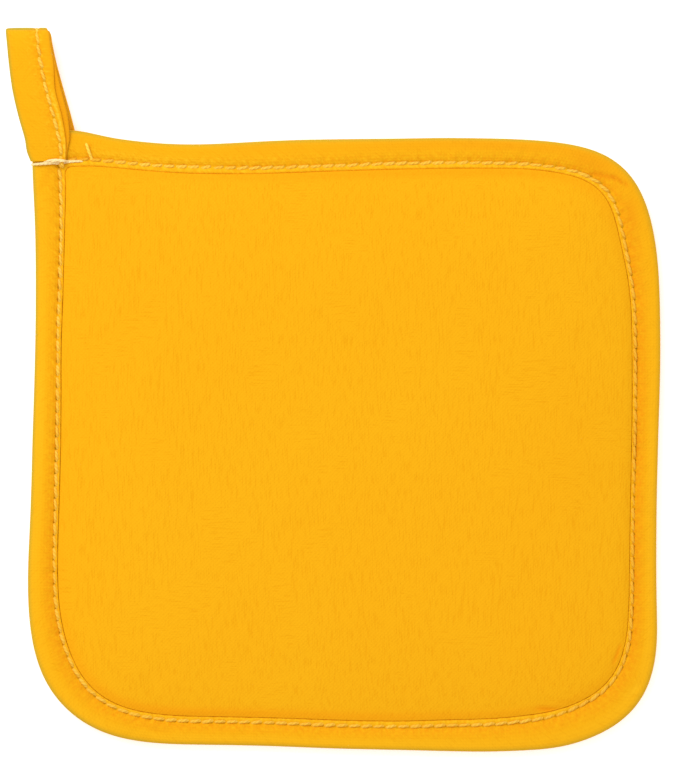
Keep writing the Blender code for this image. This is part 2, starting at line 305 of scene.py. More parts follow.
@dataclass(frozen=True)
class Plan:
    """The pot holder from above: its outline, and the lines that run inside it.

    Its sides, corners and most edge pushes began as a fit to the photo's outline, then rounded.
    """

    left: float = 98.4
    right: float = 99.2
    bottom: float = 95.8
    top: float = 97.0
    smallest_radius: float = 1.0
    inner_rounding: float = 1.6
    tape_width: float = 9.4
    seam_inset: float = 7.6
    leaf_inset: float = 9.45
    shrink_inset: float = 24.0
    middle_inset: float = 97.0
    lift: float = 1.9
    lifted_to_x: float = -80.5
    lifted_from_y: float = 82.5
    lift_fade: float = 30.0
    corner_steps: int = 160
    edge_steps: int = 200
    smoothing: tuple[float, ...] = (-6.0, -3.0, 0.0, 3.0, 6.0)
    corners: tuple[Corner, ...] = (
        Corner(1, 1, 63.0, 4.0), Corner(-1, 1, 3.0, 2.0), Corner(-1, -1, 52.0, 2.8),
        Corner(1, -1, 40.0, 2.45),
    )
    edge_pushes: tuple[Push, ...] = (
        Push(-85.0, 98.0, 13.0, 0.0, 2.1), Push(-84.0, 100.0, 6.0, 0.0, 1.3),
        Push(-50.0, 97.0, 22.0, 0.0, -1.9), Push(98.0, 25.0, 30.0, 1.1, 0.0),
        Push(36.0, -96.0, 26.0, 0.0, -1.5), Push(-50.0, -96.0, 26.0, 0.0, 0.7),
        Push(-99.0, -42.0, 26.0, -1.6, 0.0), Push(-98.0, 50.0, 26.0, 0.8, 0.0),
        Push(-98.0, 88.0, 9.0, -0.5, 0.0), Push(88.0, -84.0, 12.0, 0.6, 0.5),
    )
    seam_pushes: tuple[Push, ...] = (
        Push(76.0, -84.0, 13.0, -1.6, 2.6), Push(90.0, 64.0, 11.0, -1.7, 0.0),
        Push(-89.0, -64.0, 12.0, 1.2, 0.2), Push(82.0, 84.0, 9.0, 0.8, 0.6),
    )
    wanders: tuple[Wander, ...] = (
        Wander(0.0, 0, 8.02, 10.50), Wander(8.0, 0, 8.49, 10.30), Wander(15.0, 0.05, 8.40, 9.71),
        Wander(25.0, 0, 8.10, 9.35), Wander(34.0, 0, 7.70, 8.90), Wander(44.0, -0.05, 7.35, 8.74),
        Wander(53.0, 0, 6.99, 8.40), Wander(63.0, 0, 7.25, 8.35), Wander(72.0, 0, 7.40, 8.65),
        Wander(91.0, -0.05, 7.60, 9.06), Wander(106.0, 0.2, 7.90, 9.25),
        Wander(116.0, 0.25, 8.01, 9.26), Wander(131.0, -0.15, 8.06, 9.14),
        Wander(148.0, -0.05, 7.68, 8.85), Wander(159.0, -0.25, 8.00, 9.05),
        Wander(173.0, 0.2, 8.24, 9.40), Wander(188.0, 0.3, 8.15, 9.68),
        Wander(195.0, 0.4, 7.90, 9.74), Wander(209.0, 0.15, 7.39, 9.35),
        Wander(231.0, 0.15, 7.43, 9.30), Wander(243.0, 0, 7.16, 9.25), Wander(254.0, 0, 7.15, 9.20),
        Wander(266.0, 0.25, 7.29, 9.40), Wander(277.0, 0.4, 7.66, 9.80),
        Wander(286.0, 0.35, 8.17, 10.39), Wander(302.0, 0, 8.27, 10.46),
        Wander(315.0, 0.15, 8.15, 10.33), Wander(324.0, 0.5, 7.92, 9.65),
        Wander(332.0, 0.5, 7.81, 9.11), Wander(341.0, 0, 8.06, 9.25),
        Wander(349.0, -0.1, 8.60, 9.93), Wander(355.0, 0, 8.70, 10.07),
        Wander(364.0, 0.05, 8.05, 9.26), Wander(376.0, 0.35, 7.87, 8.96),
        Wander(402.0, 0.55, 7.92, 8.95), Wander(425.0, 0.5, 7.77, 8.95),
        Wander(446.0, 0.1, 7.90, 9.14), Wander(465.0, 0, 7.69, 9.00),
        Wander(477.0, 0.1, 7.61, 8.87), Wander(488.0, 0.4, 7.77, 9.34),
        Wander(499.0, 0.2, 7.92, 9.45), Wander(508.0, -0.1, 7.75, 9.38),
        Wander(520.0, 0.2, 7.65, 9.54), Wander(529.0, 0.2, 7.50, 9.44),
        Wander(542.0, -0.1, 7.35, 9.57), Wander(556.0, -0.3, 7.30, 9.59),
        Wander(573.0, 0, 7.45, 9.88), Wander(588.0, 0, 8.15, 10.21),
        Wander(607.0, -0.2, 8.16, 10.49), Wander(618.0, -0.2, 7.82, 10.26),
        Wander(630.0, -0.05, 7.00, 9.75), Wander(637.0, -0.1, 6.65, 9.45),
        Wander(651.0, 0, 6.79, 9.08), Wander(656.0, 0.2, 6.87, 9.14),
        Wander(662.0, 0.65, 7.11, 9.39), Wander(669.0, 0.25, 7.47, 9.57),
        Wander(675.0, -0.8, 7.75, 9.9),
    )
    shades: tuple[Shade, ...] = (
        Shade(0.5, 0.1, 0.1, 0.95, 0.0, 0.9, 1.0, 0.5),
        Shade(12.0, 0.1, 0.1, 0.95, 0.0, 0.6, 1.0, 0.6),
        Shade(28.0, 0.1, 0.1, 0.95, 0.0, 0.3, 1.0, 0.66),
        Shade(85.0, 0.25, 0.3, 1.0, 0.03, 0.1, 0.8, 0.75),
        Shade(141.0, 0.55, 0.15, 0.88, 0.07, 0.25, 0.75, 0.72),
        Shade(198.0, 0.4, 0.15, 0.68, 0.45, 0.75, 0.72, 0.32),
        Shade(255.0, 0.3, 0.2, 0.65, 0.35, 0.85, 0.76, 0.24),
        Shade(311.0, 0.33, 0.12, 0.6, 0.25, 0.85, 0.74, 0.46),
        Shade(368.0, 0.65, 0.2, 0.48, 0.0, 0.5, 0.3, 0.8),
        Shade(424.0, 0.65, 0.2, 0.44, 0.0, 0.35, 0.2, 0.68),
        Shade(481.0, 0.6, 0.0, 0.5, 0.05, 0.5, 0.5, 0.6),
        Shade(537.0, 0.2, -0.5, 0.92, 0.35, 1.1, 0.78, 0.26),
        Shade(594.0, 0.05, -0.15, 0.88, 0.3, 1.1, 0.85, 0.3),
        Shade(640.0, -0.22, -0.03, 0.8, 0.18, 1.1, 0.9, 0.25),
        Shade(651.0, -0.25, 0.0, 0.78, 0.15, 1.05, 1.0, 0.15),
        Shade(660.0, -0.2, 0.0, 0.78, 0.1, 1.0, 0.7, 0.0),
        Shade(667.0, -0.1, 0.0, 0.85, 0.05, 1.0, 0.0, 0.0),
        Shade(678.0, 0.05, 0.05, 0.9, 0.0, 0.95, 0.1, 0.2),
    )

    def corner_line(self, corner: Corner, inset: float) -> np.ndarray:
        """Draw one corner, anticlockwise, this far inside the outline.

        Args:
            corner: The corner.
            inset: Distance in from the outline.

        Returns:
            Its points.
        """
        inner_radius = self.smallest_radius + self.inner_rounding * max(
            inset - self.tape_width, 0.0
        )
        radius = max(corner.radius - inset, inner_radius)
        reach = np.array(
            [
                self.right if corner.side_x > 0 else self.left,
                self.top if corner.side_y > 0 else self.bottom,
            ]
        )
        turn = 0.5 * math.pi * np.arange(self.corner_steps + 1) / self.corner_steps
        around = np.stack([np.clip(np.cos(turn), 0.0, 1.0), np.sin(turn)], axis=1)
        points = (reach - inset - radius + radius * around ** (2.0 / corner.fullness)) * (
            corner.side_x, corner.side_y,
        )
        return points[::-1] if corner.side_x * corner.side_y < 0 else points

    def pushed(self, points: np.ndarray, pushes: tuple[Push, ...], share: float) -> np.ndarray:
        """Shift points by a share of each push.

        Args:
            points: The points.
            pushes: The pushes.
            share: How much of each push is used.

        Returns:
            The shifted points.
        """
        shifted = points.copy()
        for push in pushes:
            away = (points[:, 0] - push.x) ** 2 + (points[:, 1] - push.y) ** 2
            weight = share * np.exp(-away / (2.0 * push.reach**2))
            shifted += weight[:, None] * (push.push_x, push.push_y)
        return shifted

    def line(self, inset: float) -> np.ndarray:
        """Draw the closed line this far inside the outline, from the top left corner.

        Args:
            inset: Distance in from the outline.

        Returns:
            Its points, anticlockwise.
        """
        edge_inset = min(inset, self.shrink_inset)
        runs = [self.corner_line(corner, edge_inset) for corner in self.corners]
        share = (np.arange(1, self.edge_steps) / self.edge_steps)[:, None]
        parts = []
        for run, following in zip(runs, runs[1:] + runs[:1]):
            parts += [run, run[-1] * (1.0 - share) + following[0] * share]
        start = self.corner_steps + self.edge_steps + self.corner_steps // 2
        straight = np.roll(np.concatenate(parts), -start, axis=0)
        seam_share = float(smooth_step(edge_inset / self.seam_inset))
        bent = self.pushed(straight, self.seam_pushes, seam_share)
        bent = self.pushed(bent, self.edge_pushes, 1.0)
        span = self.middle_inset - self.shrink_inset
        return bent * (self.middle_inset - max(inset, self.shrink_inset)) / span

    def seam_lengths(self) -> np.ndarray:
        """Measure the seam up to each of the line's points, and once round."""
        seam = self.line(self.seam_inset)
        return lengths_up_to(np.vstack([seam, seam[:1]]))

    def stations(self, count: int) -> np.ndarray:
        """Find places on the lines that are evenly apart along the seam."""
        lengths = self.seam_lengths()
        wanted = np.arange(count) * lengths[-1] / count
        return np.interp(wanted, lengths, np.arange(len(lengths)))

    def at(self, inset: float, stations: np.ndarray) -> np.ndarray:
        """Find points of the line this far inside the outline.

        Args:
            inset: Distance in from the outline.
            stations: Places on the line.

        Returns:
            The points.
        """
        line = self.line(inset)
        index = np.floor(stations).astype(int)
        share = (stations - index)[:, None]
        return line[index % len(line)] * (1.0 - share) + line[(index + 1) % len(line)] * share

    def sewn(self, inset: float, stations: np.ndarray) -> np.ndarray:
        """Find points of the line where the sewing has really put it.

        Args:
            inset: Where the line would be if the seam ran evenly.
            stations: Places on the line.

        Returns:
            The points.
        """
        lengths = self.seam_lengths()
        along = np.interp(stations, np.arange(len(lengths)), lengths)
        table = np.array(self.wanders)
        outline, seam, leaf = (
            np.mean(
                [
                    np.interp(along + step, table[:, 0], column, period=lengths[-1])
                    for step in self.smoothing
                ],
                axis=0,
            )
            for column in table.T[1:]
        )
        to_seam = min(inset / self.seam_inset, 1.0)
        to_leaf = np.clip((inset - self.seam_inset) / (self.leaf_inset - self.seam_inset), 0, 1)
        fade = 1.0 - smooth_step((inset - self.leaf_inset) / (self.shrink_inset - self.leaf_inset))
        shift = (1.0 - to_seam) * outline
        shift += (to_seam - to_leaf) * (seam - self.seam_inset)
        shift += fade * to_leaf * (leaf - self.leaf_inset)
        middle = max(inset, 0.5)
        inward = self.at(middle + 0.5, stations) - self.at(middle - 0.5, stations)
        return self.at(inset, stations) + shift[:, None] * inward

    def shade_at(self, stations: np.ndarray) -> Shade:
        """Find how the cloth differs at each station.

        Args:
            stations: Places on the line.

        Returns:
            The shade, each of its fields with one value for each station.
        """
        lengths = self.seam_lengths()
        along = np.interp(stations, np.arange(len(lengths)), lengths)
        table = np.array(self.shades)
        columns = [np.interp(along, table[:, 0], part, period=lengths[-1]) for part in table.T[1:]]
        return Shade(along, *columns)

    def lift_at(self, points: np.ndarray) -> np.ndarray:
        """Find how far the loop's back leg lifts the underside at each point."""
        gap_x = np.clip(points[:, 0] - self.lifted_to_x, 0.0, None)
        gap_y = np.clip(self.lifted_from_y - points[:, 1], 0.0, None)
        return self.lift * (1.0 - smooth_step(np.hypot(gap_x, gap_y) / self.lift_fade))


class Weave(Enum):
    """How the cloth's threads lie to the piece."""

    STRAIGHT = 0.0
    BIAS = 45.0


@dataclass(frozen=True)
class Cotton:
    """Plain woven cotton, dyed warm yellow and washed.

    Matt, with hardly any gloss, so its colour stays deep. Uneven yarns show as fine streaks, in
    most patches along the warp and in some along the weft. Painted shade deepens it along the
    seam and in its creases. The threads are really about 0.4 mm apart, too fine to show, and are
    drawn at thread_spacing.
    """

    name: str
    light: str
    dark: str
    warm: str
    weave: Weave
    thread_spacing: float
    streak_share: float
    thread_share: float
    warp_from: float = 0.34
    warp_to: float = 0.46
    fuzz_share: float = 0.34
    # Painted shade along the seam and in creases.
    painted_shade: str = "#ea8b0d"
    roughness: float = 0.88
    relief: float = 0.05

    def coordinates(self, tree: bpy.types.NodeTree) -> bpy.types.NodeSocket:
        """Give the cloth's own coordinates in millimetres, along its threads."""
        if self.weave is Weave.STRAIGHT:
            source = add_node(tree, "ShaderNodeTexCoord").outputs["Object"]
        else:
            source = add_node(tree, "ShaderNodeUVMap", {"uv_map": TAPE_UV}).outputs["UV"]
        scaled = add_node(
            tree, "ShaderNodeVectorMath", {"operation": "SCALE"},
            {"Vector": source, "Scale": 1.0 / MM},
        )
        turned = add_node(
            tree, "ShaderNodeVectorRotate", {"rotation_type": "Z_AXIS"},
            {"Vector": scaled.outputs["Vector"], "Angle": math.radians(self.weave.value)},
        )
        return turned.outputs["Vector"]

    def streaks(
        self, tree: bpy.types.NodeTree, cloth: bpy.types.NodeSocket, width: float, length: float
    ) -> bpy.types.NodeSocket:
        """Draw uneven yarns as noise that is stretched along the threads.

        Args:
            tree: The material's tree.
            cloth: The cloth's coordinates.
            width: Size across the first threads, in millimetres.
            length: Size along them.

        Returns:
            The noise, from 0 to 1.
        """
        stretched = add_node(
            tree, "ShaderNodeMapping", {},
            {"Vector": cloth, "Scale": (1.0 / width, 1.0 / length, 1.0 / width)},
        )
        noise = add_node(
            tree, "ShaderNodeTexNoise", {},
            {"Vector": stretched.outputs["Vector"], "Scale": 1.0, "Detail": 2.0},
        )
        return noise.outputs["Fac"]

    def threads(
        self, tree: bpy.types.NodeTree, cloth: bpy.types.NodeSocket
    ) -> bpy.types.NodeSocket:
        """Draw the threads of a plain weave, each over one and under the next.

        Args:
            tree: The material's tree.
            cloth: The cloth's coordinates.

        Returns:
            The weave's relief, from -1 to 1.
        """
        split = add_node(tree, "ShaderNodeSeparateXYZ", {}, {"Vector": cloth})
        waves = []
        for axis in ("X", "Y"):
            phase = add_node(
                tree, "ShaderNodeMath", {"operation": "MULTIPLY"},
                {0: split.outputs[axis], 1: math.pi / self.thread_spacing},
            )
            wave = add_node(
                tree, "ShaderNodeMath", {"operation": "SINE"}, {0: phase.outputs["Value"]}
            )
            waves.append(wave.outputs["Value"])
        crossing = add_node(
            tree, "ShaderNodeMath", {"operation": "MULTIPLY"}, {0: waves[0], 1: waves[1]}
        )
        return crossing.outputs["Value"]

    def weighed(
        self, tree: bpy.types.NodeTree, parts: list[tuple[bpy.types.NodeSocket, float]],
        start: float,
    ) -> bpy.types.NodeSocket:
        """Add up patterns, each with its weight.

        Args:
            tree: The material's tree.
            parts: The patterns and their weights.
            start: The sum's first value.

        Returns:
            The sum.
        """
        total: bpy.types.NodeSocket | float = start
        for pattern, weight in parts:
            node = add_node(
                tree, "ShaderNodeMath", {"operation": "MULTIPLY_ADD"},
                {0: pattern, 1: weight, 2: total},
            )
            total = node.outputs["Value"]
        return total

    def ground(self, tree: bpy.types.NodeTree) -> tuple[bpy.types.NodeSocket, bpy.types.NodeSocket]:
        """Draw the cloth's colour and relief.

        Args:
            tree: The material's tree.

        Returns:
            The colour and the height.
        """
        cloth = self.coordinates(tree)
        warp = self.streaks(tree, cloth, 0.42, 4.4)
        weft = self.streaks(tree, cloth, 3.8, 0.42)
        fuzz = self.streaks(tree, cloth, 0.45, 0.45)
        patch = self.streaks(tree, cloth, 13.0, 16.0)
        cloud = self.streaks(tree, cloth, 45.0, 60.0)
        threads = self.threads(tree, cloth)
        along_warp = add_node(
            tree, "ShaderNodeMapRange", {"interpolation_type": "SMOOTHSTEP"},
            {"Value": patch, 1: self.warp_from, 2: self.warp_to},
        )
        mixed = add_node(
            tree, "ShaderNodeMix", {}, {"Factor": along_warp.outputs["Result"], 2: weft, 3: warp}
        )
        yarns = add_node(
            tree, "ShaderNodeMapRange", {}, {"Value": mixed.outputs[0], 1: 0.3, 2: 0.5}
        ).outputs["Result"]
        tone = self.weighed(
            tree,
            [(yarns, self.streak_share), (fuzz, self.fuzz_share), (threads, self.thread_share)],
            0.5 - 0.85 * self.streak_share - 0.5 * self.fuzz_share,
        )
        woven = add_node(
            tree, "ShaderNodeMix", {"data_type": "RGBA"},
            {"Factor": tone, 6: linear_colour(self.dark), 7: linear_colour(self.light)},
        )
        warmed = add_node(
            tree, "ShaderNodeMix", {"data_type": "RGBA", "blend_type": "MULTIPLY"},
            {"Factor": cloud, 6: woven.outputs[2], 7: linear_colour(self.warm)},
        )
        height = self.weighed(tree, [(threads, 0.5), (yarns, 0.6), (fuzz, 0.5)], 0.0)
        return warmed.outputs[2], height

    def layers(self, tree: bpy.types.NodeTree) -> list[tuple[bpy.types.NodeSocket, str]]:
        """List the tints over a panel's colour: painted shade along the seam and in creases.

        Args:
            tree: The material's tree.

        Returns:
            The share and the hex colour of each tint, lowest first.
        """
        settings = {"attribute_type": "GEOMETRY", "attribute_name": PAINTED_SHADE_AND_LIGHT}
        tint = add_node(tree, "ShaderNodeAttribute", settings).outputs["Fac"]
        settings = {"operation": "MULTIPLY", "use_clamp": True}
        # Painted shade where the mark is below 0.
        deep = add_node(tree, "ShaderNodeMath", settings, {0: tint, 1: -1.0})
        return [(deep.outputs["Value"], self.painted_shade)]

    def make(self) -> bpy.types.Material:
        """Build the material."""
        values = {
            "Roughness": self.roughness, "Specular IOR Level": 0.1,
            "Specular Tint": linear_colour(self.light),
        }
        material, shader = start_material(self.name, values)
        tree = material.node_tree
        colour, height = self.ground(tree)
        for share, tint in self.layers(tree):
            blend = {"Factor": share, 6: colour, 7: linear_colour(tint)}
            colour = add_node(tree, "ShaderNodeMix", {"data_type": "RGBA"}, blend).outputs[2]
        shape = {"Height": height, "Distance": self.relief * MM}
        relief = add_node(tree, "ShaderNodeBump", {}, shape)
        tree.links.new(colour, shader.inputs["Base Color"])
        tree.links.new(relief.outputs["Normal"], shader.inputs["Normal"])
        return material


@dataclass(frozen=True)
class TapeCotton(Cotton):
    """The same cotton cut on the bias and folded into a tape.

    Its threads run slantwise. Painted shade darkens it along its rim and deepens it, blotchily,
    beside the seam; painted light lightens it where the seam mark is above 0; and each stitch ends
    in a dark hole that painted shade fills.
    """

    # Painted shade beside the seam, in creases and on the loop's inner leaf.
    painted_shade: str = "#e08d10"
    # Painted shade along the rim, where the tape turns down out of the light.
    rim: str = "#b2992b"
    # Painted light, where the seam mark is above 0.
    painted_light: str = "#f0bb22"
    # Painted shade inside the needle holes.
    hole: str = "#8e6a08"
    hole_pitch: float = 4.0
    hole_radius: float = 0.48
    # Blotches that make the painted shade beside the seam uneven.
    blotch_size: float = 1.1
    blotch_share: float = 2.2
    blotch_reach: float = 5.0

    def hole_distance(
        self, tree: bpy.types.NodeTree, across: bpy.types.NodeSocket
    ) -> bpy.types.NodeSocket:
        """Measure from the nearest needle hole, half a stitch from each stitch's middle.

        Args:
            tree: The material's tree.
            across: Distance from the seam's line.

        Returns:
            The distance in millimetres.
        """
        source = add_node(tree, "ShaderNodeUVMap", {"uv_map": TAPE_UV}).outputs["UV"]
        along = add_node(tree, "ShaderNodeSeparateXYZ", {}, {"Vector": source}).outputs["X"]
        steps = (
            ("MULTIPLY", 1.0 / (MM * self.hole_pitch)), ("FRACT", 0.0), ("SUBTRACT", 0.5),
            ("MULTIPLY", self.hole_pitch),
        )
        for operation, value in steps:
            node = add_node(tree, "ShaderNodeMath", {"operation": operation}, {0: along, 1: value})
            along = node.outputs["Value"]
        flat = add_node(tree, "ShaderNodeCombineXYZ", {}, {"X": along, "Y": across})
        length = add_node(
            tree, "ShaderNodeVectorMath", {"operation": "LENGTH"},
            {"Vector": flat.outputs["Vector"]},
        )
        return length.outputs["Value"]

    def layers(self, tree: bpy.types.NodeTree) -> list[tuple[bpy.types.NodeSocket, str]]:
        """List the tints over a tape's colour: painted shade on its rim and beside its seam,
        painted light where it is lightened, and painted shade in its holes.

        Args:
            tree: The material's tree.

        Returns:
            The share and the hex colour of each tint, lowest first.
        """
        across, tint, rim_shade, pierced = [
            add_node(
                tree, "ShaderNodeAttribute", {"attribute_type": "GEOMETRY", "attribute_name": name},
            ).outputs["Fac"]
            for name in (SEAM_DISTANCE, PAINTED_SHADE_AND_LIGHT, PAINTED_RIM_SHADE, PIERCED)
        ]
        away = self.hole_distance(tree, across)
        near, in_hole = [
            add_node(
                tree, "ShaderNodeMapRange", {"interpolation_type": "SMOOTHSTEP"},
                {"Value": distance, 1: full, 2: none, 3: most, 4: 0.0},
            ).outputs["Result"]
            for distance, full, none, most in (
                (across, 0.6, self.blotch_reach, -self.blotch_share),
                (away, 0.4 * self.hole_radius, 1.4 * self.hole_radius, 1.0),
            )
        ]
        cloth = self.coordinates(tree)
        shares = {
            "blotch": self.streaks(tree, cloth, self.blotch_size, self.blotch_size), "near": near,
            "tint": tint, "in hole": in_hole, "pierced": pierced,
        }
        # Painted shade and light: blotches vary the painted shade beside the seam, the mark adds
        # painted shade below 0 and painted light above 0, and the holes get painted shade.
        for result, operation, clamped, *values in (
            ("centred", "SUBTRACT", False, "blotch", 0.5),
            ("uneven", "MULTIPLY_ADD", False, "centred", "near", "tint"),
            ("deep", "MULTIPLY", True, "uneven", -1.0), ("light", "MULTIPLY", True, "uneven", 1.0),
            ("hole", "MULTIPLY", False, "in hole", "pierced"),
        ):
            taken = {place: shares.get(value, value) for place, value in enumerate(values)}
            settings = {"operation": operation, "use_clamp": clamped}
            shares[result] = add_node(tree, "ShaderNodeMath", settings, taken).outputs["Value"]
        return [
            (rim_shade, self.rim), (shares["deep"], self.painted_shade), (shares["light"], self.painted_light),
            (shares["hole"], self.hole),
        ]


@dataclass(frozen=True)
class Thread:
    """Spun two-ply sewing thread: a soft sheen, and a twist that shows as slanting ridges."""

    name: str
    light: str
    dark: str
    twist: float = 1.3
    roughness: float = 0.6

    def make(self) -> bpy.types.Material:
        """Build the material."""
        values = {
            "Roughness": self.roughness, "Specular IOR Level": 0.25,
            "Specular Tint": linear_colour(self.light),
        }
        material, shader = start_material(self.name, values)
        tree = material.node_tree
        along, around, tint = [
            add_node(
                tree, "ShaderNodeAttribute", {"attribute_type": "GEOMETRY", "attribute_name": name},
            ).outputs[part]
            for name, part in (
                (THREAD_ALONG, "Fac"), (THREAD_AROUND, "Vector"), (THREAD_TINT, "Fac"),
            )
        ]
        split = add_node(tree, "ShaderNodeSeparateXYZ", {}, {"Vector": around})
        angle = add_node(
            tree, "ShaderNodeMath", {"operation": "ARCTAN2"},
            {0: split.outputs["Y"], 1: split.outputs["X"]},
        )
        doubled = add_node(
            tree, "ShaderNodeMath", {"operation": "MULTIPLY"}, {0: angle.outputs["Value"], 1: 2.0},
        )
        phase = add_node(
            tree, "ShaderNodeMath", {"operation": "MULTIPLY_ADD"},
            {0: along, 1: 2.0 * math.pi / (MM * self.twist), 2: doubled.outputs["Value"]},
        )
        ply = add_node(tree, "ShaderNodeMath", {"operation": "SINE"}, {0: phase.outputs["Value"]})
        shade = add_node(
            tree, "ShaderNodeMapRange", {},
            {"Value": ply.outputs["Value"], 1: -1.0, 2: 0.4, 3: 0.35, 4: 1.0},
        )
        varied = add_node(
            tree, "ShaderNodeMath", {"operation": "MULTIPLY"},
            {0: shade.outputs["Result"], 1: tint},
        )
        colour = add_node(
            tree, "ShaderNodeMix", {"data_type": "RGBA"},
            {
                "Factor": varied.outputs["Value"], 6: linear_colour(self.dark),
                7: linear_colour(self.light),
            },
        )
        relief = add_node(
            tree, "ShaderNodeBump", {}, {"Height": ply.outputs["Value"], "Distance": 0.06 * MM}
        )
        tree.links.new(colour.outputs[2], shader.inputs["Base Color"])
        tree.links.new(relief.outputs["Normal"], shader.inputs["Normal"])
        return material


@dataclass(frozen=True)
class Crease:
    """A short crease in the cloth, from one place to another, with painted shade along it, or
    painted light where its tint is below 0.
    """

    start: tuple[float, float]
    end: tuple[float, float]
    width: float
    depth: float
    tint: float = 0.0

    def at(self, x: np.ndarray, y: np.ndarray) -> np.ndarray:
        """Find how strong the crease is at each place.

        Args:
            x: First coordinate of each place.
            y: Second coordinate of each place.

        Returns:
            From 0, no crease, to about 1 in its middle.
        """
        run = np.subtract(self.end, self.start)
        share = ((x - self.start[0]) * run[0] + (y - self.start[1]) * run[1]) / (run @ run)
        along = np.clip(share, 0.0, 1.0)
        away = np.hypot(x - self.start[0] - along * run[0], y - self.start[1] - along * run[1])
        return bell(away, self.width) * np.sqrt(4.0 * along * (1.0 - along) + 0.05)


@dataclass(frozen=True)
class Swell:
    """A low rise or hollow in the pad's top."""

    x: float
    y: float
    reach: float
    rise: float


@dataclass
class Pad:
    """The filled pad: two cotton faces over wadding, thin at its bound rim and crowned on top."""

    plan: Plan
    finish: Cotton
    seam_top: float = 3.72
    seam_under: float = 1.4
    crown: float = 8.0
    brink: float = 9.33
    brink_run: float = 0.32
    brink_rise: float = 1.08
    snug_rise: float = 0.42
    snug_shift: float = 0.12
    # Where and how wide the painted shade along the seam lies on the panel.
    painted_shade_inset: float = 10.6
    painted_shade_reach: float = 1.7
    steep_share: float = 0.35
    steep_run: float = 2.6
    long_run: float = 12.0
    flat_inset: float = 16.0
    upper_lift_share: float = 0.4
    station_count: int = 640
    brink_rows: int = 9
    top_rows: int = 84
    row_power: float = 1.7
    under_rows: int = 26
    swells: tuple[Swell, ...] = (
        Swell(-45.0, 40.0, 26.0, 0.35), Swell(38.0, -30.0, 30.0, 0.3),
        Swell(30.0, 48.0, 22.0, -0.3), Swell(-40.0, -48.0, 24.0, -0.25),
    )
    creases: tuple[Crease, ...] = (
        Crease((60.5, -83.2), (69.0, -84.2), 0.9, 0.3, 0.5),
        Crease((73.6, -82.6), (78.4, -79.8), 0.5, 0.25, 0.6),
        Crease((85.2, -69.2), (87.5, -62.8), 0.55, 0.25, 0.6),
    )
    rim: tuple[tuple[float, float, float], ...] = (
        (9.1, 3.73, 0.4), (8.4, 3.75, 0.4), (7.5, 3.62, 0.4), (6.3, 4.0, 0.4), (4.4, 4.28, 0.4),
        (2.8, 4.15, 0.4), (2.0, 3.8, 0.4), (1.5, 3.3, 0.5), (1.35, 2.75, 0.65), (1.5, 2.15, 0.85),
        (2.0, 1.65, 1.0), (2.8, 1.35, 1.0), (4.6, 1.3, 1.0), (6.4, 1.32, 1.0), (7.6, 1.5, 1.0),
        (8.5, 1.42, 1.0), (9.2, 1.4, 1.0),
    )

    def crown_at(self, points: np.ndarray, inset: float, snug: np.ndarray) -> np.ndarray:
        """Find the height of the pad's top: a quick rise from the seam, then nearly level.

        Args:
            points: The places from above.
            inset: Their distance in from the outline.
            snug: How closely the pad meets the tape's edge there.

        Returns:
            Their heights.
        """
        past = np.clip(inset - self.brink + self.snug_shift * snug, 0.0, None)
        left = self.steep_share * np.exp(-past / self.steep_run)
        left += (1.0 - self.steep_share) * np.exp(-past / self.long_run)
        brink = self.brink_rise + self.snug_rise * snug
        height = self.seam_top + brink * smooth_step(past / self.brink_run)
        height += (self.crown - self.seam_top - brink) * (1.0 - left)
        height = height + self.upper_lift_share * self.plan.lift_at(points)
        uneven = Ripples(17.0, 0.07, 5).at(points[:, 0], points[:, 1])
        for swell in self.swells:
            away = np.hypot(points[:, 0] - swell.x, points[:, 1] - swell.y)
            uneven += swell.rise * np.exp(-(away**2) / (2.0 * swell.reach**2))
        height = height + uneven * smooth_step(past / self.flat_inset)
        for crease in self.creases:
            strength = crease.at(points[:, 0], points[:, 1]) * smooth_step(past / 0.8)
            height = height - crease.depth * strength
        return height

    def grid(self) -> tuple[np.ndarray, np.ndarray]:
        """Lay out the pad's points, from the middle of its top to the middle of its underside.

        Returns:
            The points, and how much each one is tinted.
        """
        stations = self.plan.stations(self.station_count)
        shade = self.plan.shade_at(stations)
        start = self.plan.tape_width
        span = self.plan.middle_inset - start
        rows, tints = [], []
        brink = np.linspace(0.0, 1.2 * self.brink_run, self.brink_rows)
        inward = np.linspace(0.0, 1.0, self.top_rows) ** self.row_power
        wide = brink[-1] + (span - 0.3 - brink[-1]) * inward
        for inset in np.concatenate([brink, wide[1:]])[::-1] + self.brink:
            points = self.plan.sewn(inset, stations)
            rows.append(np.column_stack([points, self.crown_at(points, inset, shade.snug)]))
            # Painted shade on the panel along the seam and in its creases.
            tint = -shade.panel * bell(inset - self.painted_shade_inset, self.painted_shade_reach)
            for crease in self.creases:
                tint = tint - crease.tint * crease.at(points[:, 0], points[:, 1])
            tints.append(tint)
        for inset, height, lift_share in self.rim:
            points = self.plan.sewn(inset, stations)
            lifted = height + lift_share * self.plan.lift_at(points)
            rows.append(np.column_stack([points, lifted]))
        for step in np.linspace(0.0, 1.0, self.under_rows):
            inset = start + 0.3 + (span - 0.3) * step**self.row_power
            points = self.plan.sewn(inset, stations)
            drop = 1.0 - smooth_step((inset - start) / (self.flat_inset - start))
            lifted = self.seam_under * drop + self.plan.lift_at(points)
            rows.append(np.column_stack([points, lifted]))
        tinted = np.zeros((len(rows), self.station_count))
        tinted[: len(tints)] = tints
        return np.array(rows), tinted

    def build(self, filling: "Filling") -> bpy.types.Object:
        """Build, fill and dress the pad.

        Args:
            filling: Swells the pad's top.

        Returns:
            The pad.
        """
        grid, tinted = self.grid()
        grid = filling.swell(self, grid)
        mesh = closed_mesh("pad_cloth", grid, False, marks={PAINTED_SHADE_AND_LIGHT: tinted})
        piece = place(mesh, self.finish.make())
        settle(piece, "panel_cotton", "pad")
        return piece


